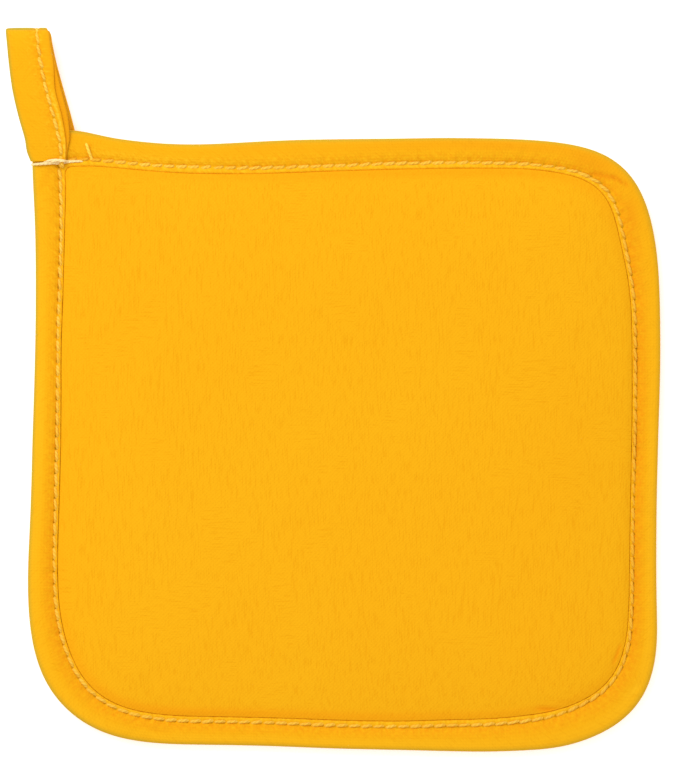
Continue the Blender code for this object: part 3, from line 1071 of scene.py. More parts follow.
@dataclass(frozen=True)
class Filling:
    """The wadding: a cloth simulation that blows the sewn pad up and keeps its seam in place."""

    column_step: int = 3
    row_step: int = 2
    voxel: float = 2.6
    pressure: float = 4.0
    frames: int = 20
    held_inset: float = 9.8
    held_reach: float = 2.0
    upper_from: float = 2.5
    share: float = 0.5
    most: float = 0.9
    neighbours: int = 4

    def rest_piece(self, grid: np.ndarray) -> bpy.types.Object:
        """Make the simulation's even mesh from a coarser copy of the pad.

        Args:
            grid: The pad's points.

        Returns:
            The object.
        """
        coarse = closed_mesh("filling", grid[:: self.row_step, :: self.column_step], False)
        piece = bpy.data.objects.new("filling", coarse)
        bpy.context.scene.collection.objects.link(piece)
        remesh = piece.modifiers.new("even", "REMESH")
        remesh.mode = "VOXEL"
        remesh.voxel_size = self.voxel * MM
        graph = bpy.context.evaluated_depsgraph_get()
        piece.data = bpy.data.meshes.new_from_object(piece.evaluated_get(graph))
        piece.modifiers.remove(remesh)
        bpy.data.meshes.remove(coarse)
        return piece

    def points_of(self, mesh: bpy.types.Mesh) -> np.ndarray:
        """Read a mesh's points in millimetres."""
        flat = np.empty(3 * len(mesh.vertices))
        mesh.vertices.foreach_get("co", flat)
        return flat.reshape(-1, 3) / MM

    def held(self, plan: Plan, points: np.ndarray) -> np.ndarray:
        """Find how firmly each point is held: all of it, but for the top inside the seam.

        Args:
            plan: The pot holder's plan.
            points: The points.

        Returns:
            From 0, free, to 1, held.
        """
        ring = plan.sewn(self.held_inset, plan.stations(480))
        ahead = np.roll(ring, -1, axis=0) - np.roll(ring, 1, axis=0)
        gaps = np.hypot(*(points[:, None, :2] - ring[None]).transpose(2, 0, 1))
        nearest = gaps.argmin(axis=1)
        away = points[:, :2] - ring[nearest]
        along = ahead[nearest]
        inside = along[:, 0] * away[:, 1] - along[:, 1] * away[:, 0] > 0.0
        free = inside & (points[:, 2] > 0.6 * self.upper_from)
        firmness = np.clip(1.0 - gaps.min(axis=1) / self.held_reach, 0.0, 1.0)
        return np.where(free, firmness, 1.0)

    def swell(self, pad: Pad, grid: np.ndarray) -> np.ndarray:
        """Let the wadding push the pad's top up.

        Args:
            pad: The pad.
            grid: Its points.

        Returns:
            The points, moved up or down a little where they are on top.
        """
        piece = self.rest_piece(grid)
        rest = self.points_of(piece.data)
        group = piece.vertex_groups.new(name="held")
        for index, weight in enumerate(self.held(pad.plan, rest)):
            group.add([index], float(weight), "REPLACE")
        cloth = piece.modifiers.new("cloth", "CLOTH")
        cloth.settings.vertex_group_mass = group.name
        cloth.settings.use_pressure = True
        cloth.settings.uniform_pressure_force = self.pressure
        cloth.settings.effector_weights.gravity = 0.0
        cloth.point_cache.frame_start = 1
        cloth.point_cache.frame_end = self.frames
        for frame_number in range(1, self.frames + 1):
            bpy.context.scene.frame_set(frame_number)
        graph = bpy.context.evaluated_depsgraph_get()
        blown = self.points_of(piece.evaluated_get(graph).data)
        bpy.data.objects.remove(piece)
        bpy.context.scene.frame_set(1)
        upper = np.flatnonzero(rest[:, 2] > self.upper_from)
        rise = np.clip(self.share * (blown - rest)[upper, 2], -self.most, self.most)
        tree = KDTree(len(upper))
        for index, vertex in enumerate(upper):
            tree.insert(Vector(rest[vertex]), index)
        tree.balance()
        moved = grid.copy()
        for row in moved[: pad.top_rows + pad.brink_rows - 1]:
            for point in row:
                found = tree.find_n(Vector(point), self.neighbours)
                weights = np.array([1.0 / (gap + 0.1) for _, _, gap in found])
                near = np.array([rise[index] for _, index, _ in found])
                point[2] += round(float(near @ weights / weights.sum()), 3)
        return moved


class Fold(NamedTuple):
    """A point of the folded tape's section: distance in, height, and share of the lift."""

    inset: float
    height: float
    lift_share: float


@dataclass
class Binding:
    """The bias tape folded over the pad's rim, with its edges turned in, sewn all round."""

    plan: Plan
    finish: TapeCotton
    stitch_count: int
    stations_per_stitch: int = 8
    cut_width: float = 26.0
    groove: float = 0.1
    needle_dip: float = 0.4
    pucker: float = 0.09
    thread_shift: float = 0.36
    thread_top: float = 4.88
    thread_under: float = 1.25
    # Painted light on the lip between the seam and the leaf's edge, more where the panel is snug.
    lip_light: float = 0.07
    snug_lip_light: float = 0.24
    # How far in, and from what height up, the painted shade on the rim reaches.
    rim_shade_reach: float = 0.92
    rim_shade_from: float = 3.3
    upper: tuple[Fold, ...] = (
        Fold(9.45, 4.6, 0.4), Fold(9.42, 4.86, 0.4), Fold(9.25, 5.04, 0.4), Fold(8.9, 5.12, 0.4),
        Fold(8.45, 5.12, 0.4), Fold(8.1, 5.02, 0.4), Fold(7.85, 4.93, 0.4), Fold(7.6, 4.88, 0.4),
        Fold(7.35, 4.93, 0.4), Fold(7.1, 5.02, 0.4), Fold(6.7, 5.16, 0.4), Fold(6.2, 5.32, 0.4),
        Fold(5.6, 5.46, 0.4), Fold(4.9, 5.58, 0.4), Fold(4.1, 5.64, 0.4), Fold(3.3, 5.63, 0.4),
        Fold(2.5, 5.58, 0.4), Fold(1.8, 5.5, 0.4), Fold(1.2, 5.38, 0.4), Fold(0.7, 5.12, 0.4),
        Fold(0.33, 4.65, 0.45), Fold(0.1, 3.8, 0.5),
    )
    under: tuple[Fold, ...] = (
        Fold(0.0, 2.75, 0.65), Fold(0.08, 2.1, 0.8), Fold(0.32, 1.45, 0.9), Fold(0.7, 0.88, 1.0),
        Fold(1.2, 0.42, 1.0), Fold(1.8, 0.12, 1.0), Fold(2.6, 0.02, 1.0), Fold(4.4, 0.0, 1.0),
        Fold(5.8, 0.0, 1.0), Fold(6.5, 0.1, 1.0), Fold(7.0, 0.36, 1.0), Fold(7.6, 0.55, 1.0),
        Fold(8.2, 0.5, 1.0), Fold(8.8, 0.15, 1.0), Fold(9.2, 0.1, 1.0), Fold(9.4, 0.3, 1.0),
        Fold(9.45, 0.55, 1.0),
    )
    inner: tuple[Fold, ...] = (
        Fold(9.35, 0.9, 1.0), Fold(8.8, 1.07, 1.0), Fold(7.6, 1.15, 1.0), Fold(6.2, 1.0, 1.0),
        Fold(4.0, 1.0, 1.0), Fold(2.5, 1.05, 1.0), Fold(1.7, 1.4, 1.0), Fold(1.15, 2.0, 0.85),
        Fold(1.0, 2.75, 0.65), Fold(1.2, 3.5, 0.5), Fold(1.75, 4.15, 0.4), Fold(2.7, 4.52, 0.4),
        Fold(4.1, 4.62, 0.4), Fold(5.6, 4.46, 0.4), Fold(6.8, 4.15, 0.4), Fold(7.6, 3.98, 0.4),
        Fold(8.6, 4.1, 0.4), Fold(9.3, 4.3, 0.4),
    )
    creases: tuple[Crease, ...] = (
        Crease((78.2, 85.9), (86.6, 84.5), 0.6, 0.45, 0.95),
        Crease((84.6, 85.0), (89.9, 82.0), 0.5, 0.5, 1.0),
        Crease((72.0, 91.0), (84.5, 87.0), 2.4, 0.1, 0.3),
        Crease((90.2, 78.0), (92.0, 68.0), 1.7, 0.2, 0.45),
        Crease((92.5, 66.5), (94.2, 59.0), 0.8, 0.2, 0.2),
        Crease((-92.5, 87.5), (-96.5, 80.0), 1.0, 0.2, 0.3),
        Crease((-62.0, -89.5), (-55.0, -91.0), 0.8, 0.2, 0.2),
        Crease((88.5, -80.5), (94.0, -75.5), 0.7, 0.2, -0.2),
    )

    def dent(
        self, fold: Fold, points: np.ndarray, turns: np.ndarray, outward: np.ndarray,
        pierced: np.ndarray,
    ) -> np.ndarray:
        """Find how the seam and the cloth's unevenness move one line of the upper face.

        Args:
            fold: The line's place in the section.
            points: Its points from above.
            turns: Stitches passed up to each point.
            outward: Random unevenness along the line, shared by all lines.
            pierced: How open the needle holes are.

        Returns:
            The rise of each point.
        """
        off_seam = fold.inset - self.plan.seam_inset
        at_hole = (0.5 - 0.5 * np.cos(2.0 * math.pi * turns)) ** 3
        dip = self.needle_dip * np.clip(0.3 + pierced, 0.0, 1.0) * at_hole
        rise = -(self.groove + dip) * bell(off_seam, 0.75)
        ridge = np.cos(2.0 * math.pi * (turns - 0.06 * off_seam))
        rise += self.pucker * ridge * bell(off_seam, 1.9) * (1.0 - bell(off_seam, 0.6))
        on_top = smooth_step((fold.inset - 0.6) / 1.6) * smooth_step((9.6 - fold.inset) / 1.2)
        rise += on_top * Ripples(3.4, 0.05, 11).at(points[:, 0], points[:, 1])
        rise += on_top * Ripples(24.0, 0.16, 12).at(points[:, 0], points[:, 1])
        rise += outward * bell(fold.inset - 5.4, 1.5) * 0.5
        for crease in self.creases:
            rise -= on_top * crease.depth * crease.at(points[:, 0], points[:, 1])
        return rise

    def section(self) -> tuple[Fold, ...]:
        """List the section's points, once round the tape."""
        return self.upper + self.under + self.inner

    def tint(self, insets: np.ndarray, in_sight: int, shade: Shade) -> np.ndarray:
        """Paint the section's shade and light: painted shade outside the seam, painted light on the
        lip inside it, and painted shade or light towards its rim as the plan says.

        Args:
            insets: Where the section's points lie.
            in_sight: How many of them are on the outside.
            shade: How the cloth differs at each station.

        Returns:
            From -1, deepest, to 1, lightest, for each point of the section at each station.
        """
        outside = np.clip(self.plan.seam_inset - insets, 0.0, None)
        near = smooth_step(outside / 0.8) * (1.0 - smooth_step((outside - 0.8) / 4.2))
        far = smooth_step((outside - 2.5) / 2.5) * smooth_step((insets - 0.3) / 1.2)
        lip = smooth_step((insets - self.plan.seam_inset) / 0.5)
        tint = far[:, None] * shade.far - near[:, None] * shade.near
        tint += lip[:, None] * (self.lip_light + self.snug_lip_light * shade.snug)
        tint[in_sight:] = 0.0
        return tint

    def grid(self) -> np.ndarray:
        """Lay out the tape's points, one row for each point of its section."""
        count = self.stitch_count * self.stations_per_stitch
        stations = self.plan.stations(count)
        turns = np.arange(count) / self.stations_per_stitch
        shade = self.plan.shade_at(stations)
        inward = 0.5 * (self.plan.at(10.4, stations) - self.plan.at(8.4, stations))
        seam = self.plan.at(self.plan.seam_inset, stations)
        wander = Ripples(9.0, 0.04, 21).at(seam[:, 0], seam[:, 1])
        wander += 0.02 * np.cos(2.0 * math.pi * turns)
        lengthwise = Ripples(5.5, 0.2, 22).at(seam[:, 0], seam[:, 1])
        rows = []
        for index, fold in enumerate(self.section()):
            points = self.plan.sewn(fold.inset, stations)
            height = fold.height + fold.lift_share * self.plan.lift_at(points)
            if index < len(self.upper):
                height = height + self.dent(fold, points, turns, lengthwise, shade.pierced)
            elif index < len(self.upper) + len(self.under):
                at_hole = (0.5 - 0.5 * np.cos(2.0 * math.pi * turns)) ** 3
                height = height + 0.1 * at_hole * bell(fold.inset - self.plan.seam_inset, 0.75)
            share = float(smooth_step((fold.inset - 7.9) / 1.4))
            points = points + (share * wander)[:, None] * inward
            rows.append(np.column_stack([points, height]))
        return np.array(rows)

    def build(self) -> bpy.types.Object:
        """Build and dress the binding."""
        grid = self.grid()
        section = self.section()
        columns = grid.shape[1]
        shade = self.plan.shade_at(self.plan.stations(columns))
        length = self.plan.seam_lengths()[-1]
        places = np.array([(fold.inset, fold.height) for fold in section + section[:1]])
        across = lengths_up_to(places)
        along = length * np.arange(columns + 1) / columns
        uv = MM * np.stack(np.broadcast_arrays(along[None, :], across[:, None]), axis=-1)
        off_seam = np.abs(places[:-1, 0] - self.plan.seam_inset)
        in_sight = len(self.upper) + len(self.under)
        off_seam[in_sight:] = HIDDEN
        # Painted shade on the rim's upper side, where the tape turns down.
        rim_shade = bell(places[:-1, 0], self.rim_shade_reach)
        rim_shade *= smooth_step(places[:-1, 1] - self.rim_shade_from)
        rim_shade[in_sight:] = 0.0
        tint = self.tint(places[:-1, 0], in_sight, shade)
        # Painted shade along the creases, or painted light where a crease's tint is below 0.
        for crease in self.creases:
            creased = crease.tint * crease.at(grid[:in_sight, :, 0], grid[:in_sight, :, 1])
            tint[:in_sight] -= creased * smooth_step(0.5 * grid[:in_sight, :, 2])
        marks = {
            SEAM_DISTANCE: np.repeat(off_seam[:, None], columns, axis=1), PAINTED_SHADE_AND_LIGHT: tint,
            PAINTED_RIM_SHADE: rim_shade[:, None] * shade.rim_shade,
            PIERCED: np.repeat(shade.pierced[None, :], len(section), axis=0),
        }
        mesh = closed_mesh("binding_tape", grid, True, uv, marks)
        piece = place(mesh, self.finish.make())
        settle(piece, "binding_cotton", "binding")
        return piece

    def seam_path(self, upper: bool) -> tuple[np.ndarray, np.ndarray, np.ndarray]:
        """Lay the seam's line on the tape, on its upper or lower face.

        It starts and ends one stitch from the top left corner, where the tack takes over.

        Args:
            upper: Whether it is the upper face's.

        Returns:
            The points, and at each the direction out of the cloth and how light the thread is
            drawn.
        """
        stations = self.plan.stations(4 * self.stitch_count)[4:-3]
        points = self.plan.sewn(self.plan.seam_inset + self.thread_shift, stations)
        lift = self.plan.lift_at(points)
        height = self.thread_top + 0.4 * lift if upper else self.thread_under + lift
        outward = np.tile((0.0, 0.0, 1.0 if upper else -1.0), (len(points), 1))
        return np.column_stack([points, height]), outward, self.plan.shade_at(stations).thread_tone


class StrapRow(NamedTuple):
    """A place along the loop: middle, width and thickness, its seam, and its leaves' edges.

    The seam is a part of the half width. The edges are how far each leaf goes past it.
    """

    x: float
    y: float
    z: float
    width: float
    thickness: float
    seam: float
    outer_edge: float
    inner_edge: float


class Anchor(Enum):
    """What a point of the loop's section is measured from."""

    EDGE = "the leaf's open edge"
    SEAM = "the seam"
    MIDDLE = "halfway from the seam to the fold"
    FOLD = "the fold"


@dataclass
class HangingLoop:
    """The tape's last stretch: folded lengthwise, sewn shut, and turned over into a loop."""

    plan: Plan
    finish: TapeCotton
    stitch_count: int = 25
    steps: int = 10
    cut_width: float = 26.0
    fold_sink: float = 0.35
    # Painted shade on the inner leaf and in the slit, painted light on the back leg.
    inner_shade: float = 0.5
    pierced: float = 0.36
    back_light: float = 0.35
    thread_under: float = 1.25
    hidden_shade: float = -0.5
    groove_share: float = 0.68
    inside_pitch: float = 3.4
    ridge_below_y: float = 117.0
    ridge_fade: float = 8.0
    rows: tuple[StrapRow, ...] = (
        StrapRow(-93.4, 89.6, 6.98, 11.2, 0.7, 0.74, -0.3, 0.0),
        StrapRow(-93.9, 92.8, 7.25, 12.6, 1.1, 0.71, -0.3, 0.1),
        StrapRow(-94.2, 96.6, 7.6, 13.2, 1.5, 0.65, -0.3, 0.9),
        StrapRow(-95.8, 104.0, 8.2, 14.1, 1.5, 0.58, -0.35, 1.4),
        StrapRow(-97.7, 112.0, 8.7, 13.9, 1.5, 0.545, -0.4, 1.45),
        StrapRow(-99.2, 120.5, 8.8, 13.2, 1.5, 0.53, 0.9, 1.35),
        StrapRow(-99.8, 127.0, 8.4, 13.3, 1.5, 0.48, 0.4, 0.6),
        StrapRow(-99.9, 130.2, 7.0, 13.9, 1.5, 0.42, -0.4, -0.1),
        StrapRow(-99.9, 131.2, 4.7, 14.1, 1.5, 0.4, -1.1, -0.3),
        StrapRow(-99.6, 130.1, 2.3, 14.1, 1.5, 0.42, -0.8, -0.2),
        StrapRow(-99.0, 127.2, 0.98, 13.8, 1.5, 0.45, -0.6, -0.3),
        StrapRow(-97.3, 120.5, 0.8, 13.5, 1.5, 0.5, -1.2, -0.4),
        StrapRow(-95.1, 112.0, 0.8, 13.6, 1.5, 0.5, -1.0, -0.35),
        StrapRow(-93.0, 104.0, 0.8, 13.6, 1.5, 0.5, -1.0, -0.2),
        StrapRow(-91.3, 96.6, 0.8, 13.4, 1.5, 0.5, -1.0, 0.0),
        StrapRow(-89.8, 90.0, 0.8, 13.2, 1.5, 0.5, -1.0, 0.0),
        StrapRow(-88.6, 84.0, 0.8, 13.0, 1.5, 0.5, -1.0, 0.0),
    )
    face: tuple[tuple[Anchor, float, float], ...] = (
        (Anchor.EDGE, 0.0, 0.6), (Anchor.EDGE, -0.1, 0.88), (Anchor.EDGE, -0.38, 1.0),
        (Anchor.EDGE, -0.9, 1.02), (Anchor.SEAM, 1.25, 1.0), (Anchor.SEAM, 0.85, 0.92),
        (Anchor.SEAM, 0.42, 0.76), (Anchor.SEAM, 0.0, 0.68), (Anchor.SEAM, -0.42, 0.76),
        (Anchor.SEAM, -0.85, 0.92), (Anchor.SEAM, -1.5, 1.0), (Anchor.SEAM, -2.3, 1.03),
        (Anchor.SEAM, -3.2, 1.04), (Anchor.MIDDLE, 0.8, 1.04), (Anchor.MIDDLE, -0.5, 1.04),
        (Anchor.FOLD, 3.2, 1.02), (Anchor.FOLD, 2.2, 1.0), (Anchor.FOLD, 1.2, 0.96),
        (Anchor.FOLD, 0.55, 0.87), (Anchor.FOLD, 0.2, 0.7), (Anchor.FOLD, 0.04, 0.38),
        (Anchor.FOLD, 0.0, 0.0),
    )
    slit: tuple[tuple[Anchor, float, float], ...] = (
        (Anchor.EDGE, -0.1, 0.3), (Anchor.EDGE, -0.45, 0.17), (Anchor.SEAM, 0.8, 0.12),
        (Anchor.SEAM, 0.0, 0.06), (Anchor.SEAM, -0.8, 0.12), (Anchor.MIDDLE, 0.0, 0.2),
        (Anchor.FOLD, 2.4, 0.2), (Anchor.FOLD, 1.3, 0.13), (Anchor.FOLD, 0.95, 0.0),
    )

    def path(self) -> np.ndarray:
        """Run smoothly through the named rows.

        Returns:
            One line of a row's eight numbers for each small step.
        """
        rows = np.array(self.rows)
        gaps = np.linalg.norm(np.diff(rows[:, :3], axis=0), axis=1)
        t = (np.arange(self.steps) / self.steps)[:, None]
        parts = []
        last = len(rows) - 1
        for index in range(last):
            before, start = rows[max(index - 1, 0)], rows[index]
            end, after = rows[index + 1], rows[min(index + 2, last)]
            here = gaps[index]
            earlier = here + (gaps[index - 1] if index else 0.0)
            later = here + (gaps[index + 1] if index + 1 < last else 0.0)
            leave = (end - before) * here / earlier
            arrive = (after - start) * here / later
            parts.append(
                start * (2 * t**3 - 3 * t**2 + 1)
                + leave * (t**3 - 2 * t**2 + t)
                + end * (3 * t**2 - 2 * t**3)
                + arrive * (t**3 - t**2)
            )
        parts.append(rows[-1:])
        path = np.concatenate(parts)
        path[:, 2] = np.maximum(path[:, 2], 0.53 * path[:, 4])
        return path

    def directions(self, path: np.ndarray) -> np.ndarray:
        """Find the direction out of the strap's outer face at each step."""
        ahead = np.roll(path, -1, axis=0)
        behind = np.roll(path, 1, axis=0)
        ahead[-1] = path[-1]
        behind[0] = path[0]
        run = ahead[:, 1] - behind[:, 1]
        rise = ahead[:, 2] - behind[:, 2]
        out = np.column_stack([np.zeros(len(path)), -rise, run])
        return out / np.linalg.norm(out, axis=1)[:, None]

    def section(self, path: np.ndarray) -> tuple[np.ndarray, np.ndarray, np.ndarray]:
        """Work out the strap's section at each step.

        Args:
            path: The strap's steps.

        Returns:
            Each point's place across, its depth, and its distance from the seam.
        """
        half_width = 0.5 * path[:, 3]
        half = 0.5 * path[:, 4]
        seam = path[:, 5] * half_width
        across, depth, off_seam = [], [], []
        turns = (
            (self.face, 1.0, 6), (self.face[-2::-1], -1.0, 7), (self.slit, -1.0, 7),
            (self.slit[-2::-1], 1.0, 6),
        )
        for table, side, edge_column in turns:
            origin = {
                Anchor.EDGE: half_width + path[:, edge_column], Anchor.SEAM: seam,
                Anchor.MIDDLE: 0.5 * (seam - half_width), Anchor.FOLD: -half_width,
            }
            inside = table[0] in self.slit
            room = np.clip((origin[Anchor.EDGE] - 0.95 - seam) / 1.35, 0.15, 1.0)
            for anchor, shift, share in table:
                squeezed = room if anchor is Anchor.SEAM and shift > 0.0 else 1.0
                across.append(origin[anchor] + shift * squeezed)
                depth.append(side * share * half)
                away = np.abs(across[-1] - seam)
                off_seam.append(np.full(len(path), HIDDEN) if inside else away)
        return np.array(across).T, np.array(depth).T, np.array(off_seam).T

    def seam_path(self, outer: bool) -> tuple[np.ndarray, np.ndarray, np.ndarray]:
        """Lay the seam's line on the strap, on its outer or inner face.

        Args:
            outer: Whether it is the outer face's.

        Returns:
            The points, and at each the direction out of the cloth and how light the thread is
            drawn.
        """
        path = self.path()
        out = self.directions(path) * (1.0 if outer else -1.0)
        middle = path[:, :3].copy()
        middle[:, 0] += 0.5 * path[:, 5] * path[:, 3]
        points = middle + out * (0.5 * self.groove_share * path[:, 4])[:, None]
        if outer:
            points -= out * (self.fold_sink * np.clip(out[:, 1], 0.0, None))[:, None]
            points[:, 2] = np.maximum(points[:, 2], self.thread_under)
        return points, out, np.ones(len(path))

    def tint(
        self, path: np.ndarray, out: np.ndarray, across: np.ndarray, depth: np.ndarray
    ) -> np.ndarray:
        """Paint the strap's shade and light: painted shade beside the seam and on its inner leaf, a
        painted highlight on the ridge past the seam, and painted light on its back leg.

        Args:
            path: The strap's steps.
            out: The direction out of its outer face at each step.
            across: Each point's place across.
            depth: Each point's depth.

        Returns:
            From -1, deepest, to 1, lightest, for each point.
        """
        past = across - (0.5 * path[:, 5] * path[:, 3])[:, None]
        lower = smooth_step((self.ridge_below_y - path[:, 1]) / self.ridge_fade)[:, None]
        deep = 0.2 * smooth_step(-past / 0.8) * (1.0 - smooth_step((-past - 0.8) / 3.0))
        deep = deep + 0.12 * smooth_step(past / 0.5) + 0.15 * smooth_step((past - 1.5) / 1.5)
        # A painted highlight on the ridge just past the seam, on the loop's lower stretch.
        ridge = 0.65 * lower * bell(past - 1.45, 0.5)
        front = np.where(depth < 0.0, -self.inner_shade, ridge - deep)
        back = smooth_step(-3.0 * out[:, 2])[:, None]
        return (1.0 - back) * front + back * self.back_light

    def rim_shade(
        self, out: np.ndarray, across: np.ndarray, depth: np.ndarray, grid: np.ndarray
    ) -> np.ndarray:
        """Find how much painted shade darkens each point: most on the fold, the open edge and the
        turn at the top.

        Args:
            out: The direction out of the strap's outer face at each step.
            across: Each point's place across.
            depth: Each point's depth.
            grid: The points.

        Returns:
            From 0 to 1 for each point, and 0 on what faces down.
        """
        fold = bell(across - across.min(axis=1)[:, None], 0.75)
        edge = bell(across.max(axis=1)[:, None] - across, 0.28)
        sides = np.maximum(fold, 0.9 * edge) * smooth_step(0.5 + 2.0 * depth)
        turn = smooth_step((1.3 - grid[:, :, 1].max() + grid[:, :, 1]) / 0.7)
        facing_up = smooth_step(4.0 * out[:, 2])[:, None]
        return np.maximum(sides, turn) * facing_up

    def build(self) -> bpy.types.Object:
        """Build and dress the loop."""
        path = self.path()
        out = self.directions(path)
        across, depth, off_seam = self.section(path)
        along = lengths_up_to(self.seam_path(True)[0])
        pitch = along[-1] / (self.stitch_count - 1)
        at_hole = (0.5 - 0.5 * np.cos(2.0 * math.pi * along / pitch)) ** 3
        sunk = bell(off_seam, 0.7) * (at_hole * 0.4 * path[:, 4])[:, None] * 0.3
        depth = depth - np.sign(depth) * np.minimum(sunk, 0.6 * np.abs(depth))
        on_face = np.clip(np.abs(depth) / (0.5 * path[:, 4])[:, None] - 0.4, 0.0, 0.6)
        uneven = Ripples(4.0, 0.05, 31).at(across, along[:, None])
        uneven += Ripples(16.0, 0.1, 32).at(across, along[:, None])
        depth = depth + on_face * uneven * (path[:, 4] / 1.5)[:, None]
        grid = path[:, None, :3] + depth[:, :, None] * out[:, None, :]
        grid[:, :, 0] += across
        grid[:, :, 2] = np.maximum(grid[:, :, 2], 0.0)
        mean = np.column_stack([across.mean(axis=0), depth.mean(axis=0)])
        around = lengths_up_to(np.vstack([mean, mean[:1]]))
        uv = MM * np.stack(np.broadcast_arrays(along[:, None], around[None, :]), axis=-1)
        tint = self.tint(path, out, across, depth)
        # Painted shade inside the slit and along the rim, and the strap's painted shade and light
        # elsewhere.
        marks = {
            SEAM_DISTANCE: off_seam, PAINTED_SHADE_AND_LIGHT: np.where(off_seam < HIDDEN, tint, self.hidden_shade),
            PAINTED_RIM_SHADE: self.rim_shade(out, across, depth, grid),
            PIERCED: np.full(off_seam.shape, self.pierced),
        }
        mesh = closed_mesh("loop_tape", grid, False, uv, marks)
        piece = place(mesh, self.finish.make())
        settle(piece, "binding_cotton", "hanging_loop")
        return piece

    def pitch(self) -> float:
        """Measure the loop's stitches."""
        points = self.seam_path(True)[0]
        length = np.linalg.norm(np.diff(points, axis=0), axis=1).sum()
        return float(length / (self.stitch_count - 1))


class Surface:
    """The finished cloth seen from above, for what lies on it."""

    def __init__(self, pieces: list[bpy.types.Object]) -> None:
        """Gather the pieces' faces.

        Args:
            pieces: The pieces of cloth.
        """
        points: list[Vector] = []
        faces: list[tuple[int, ...]] = []
        for piece in pieces:
            first = len(points)
            points += [vertex.co.copy() for vertex in piece.data.vertices]
            faces += [
                tuple(first + index for index in face.vertices) for face in piece.data.polygons
            ]
        self.tree = BVHTree.FromPolygons(points, faces)

    def height(self, x: float, y: float) -> float:
        """Find the cloth's top at a place, in millimetres, or 0 beside it."""
        hit = self.tree.ray_cast(Vector((MM * x, MM * y, 50.0 * MM)), Vector((0.0, 0.0, -1.0)))
        return hit[0].z / MM if hit[0] else 0.0


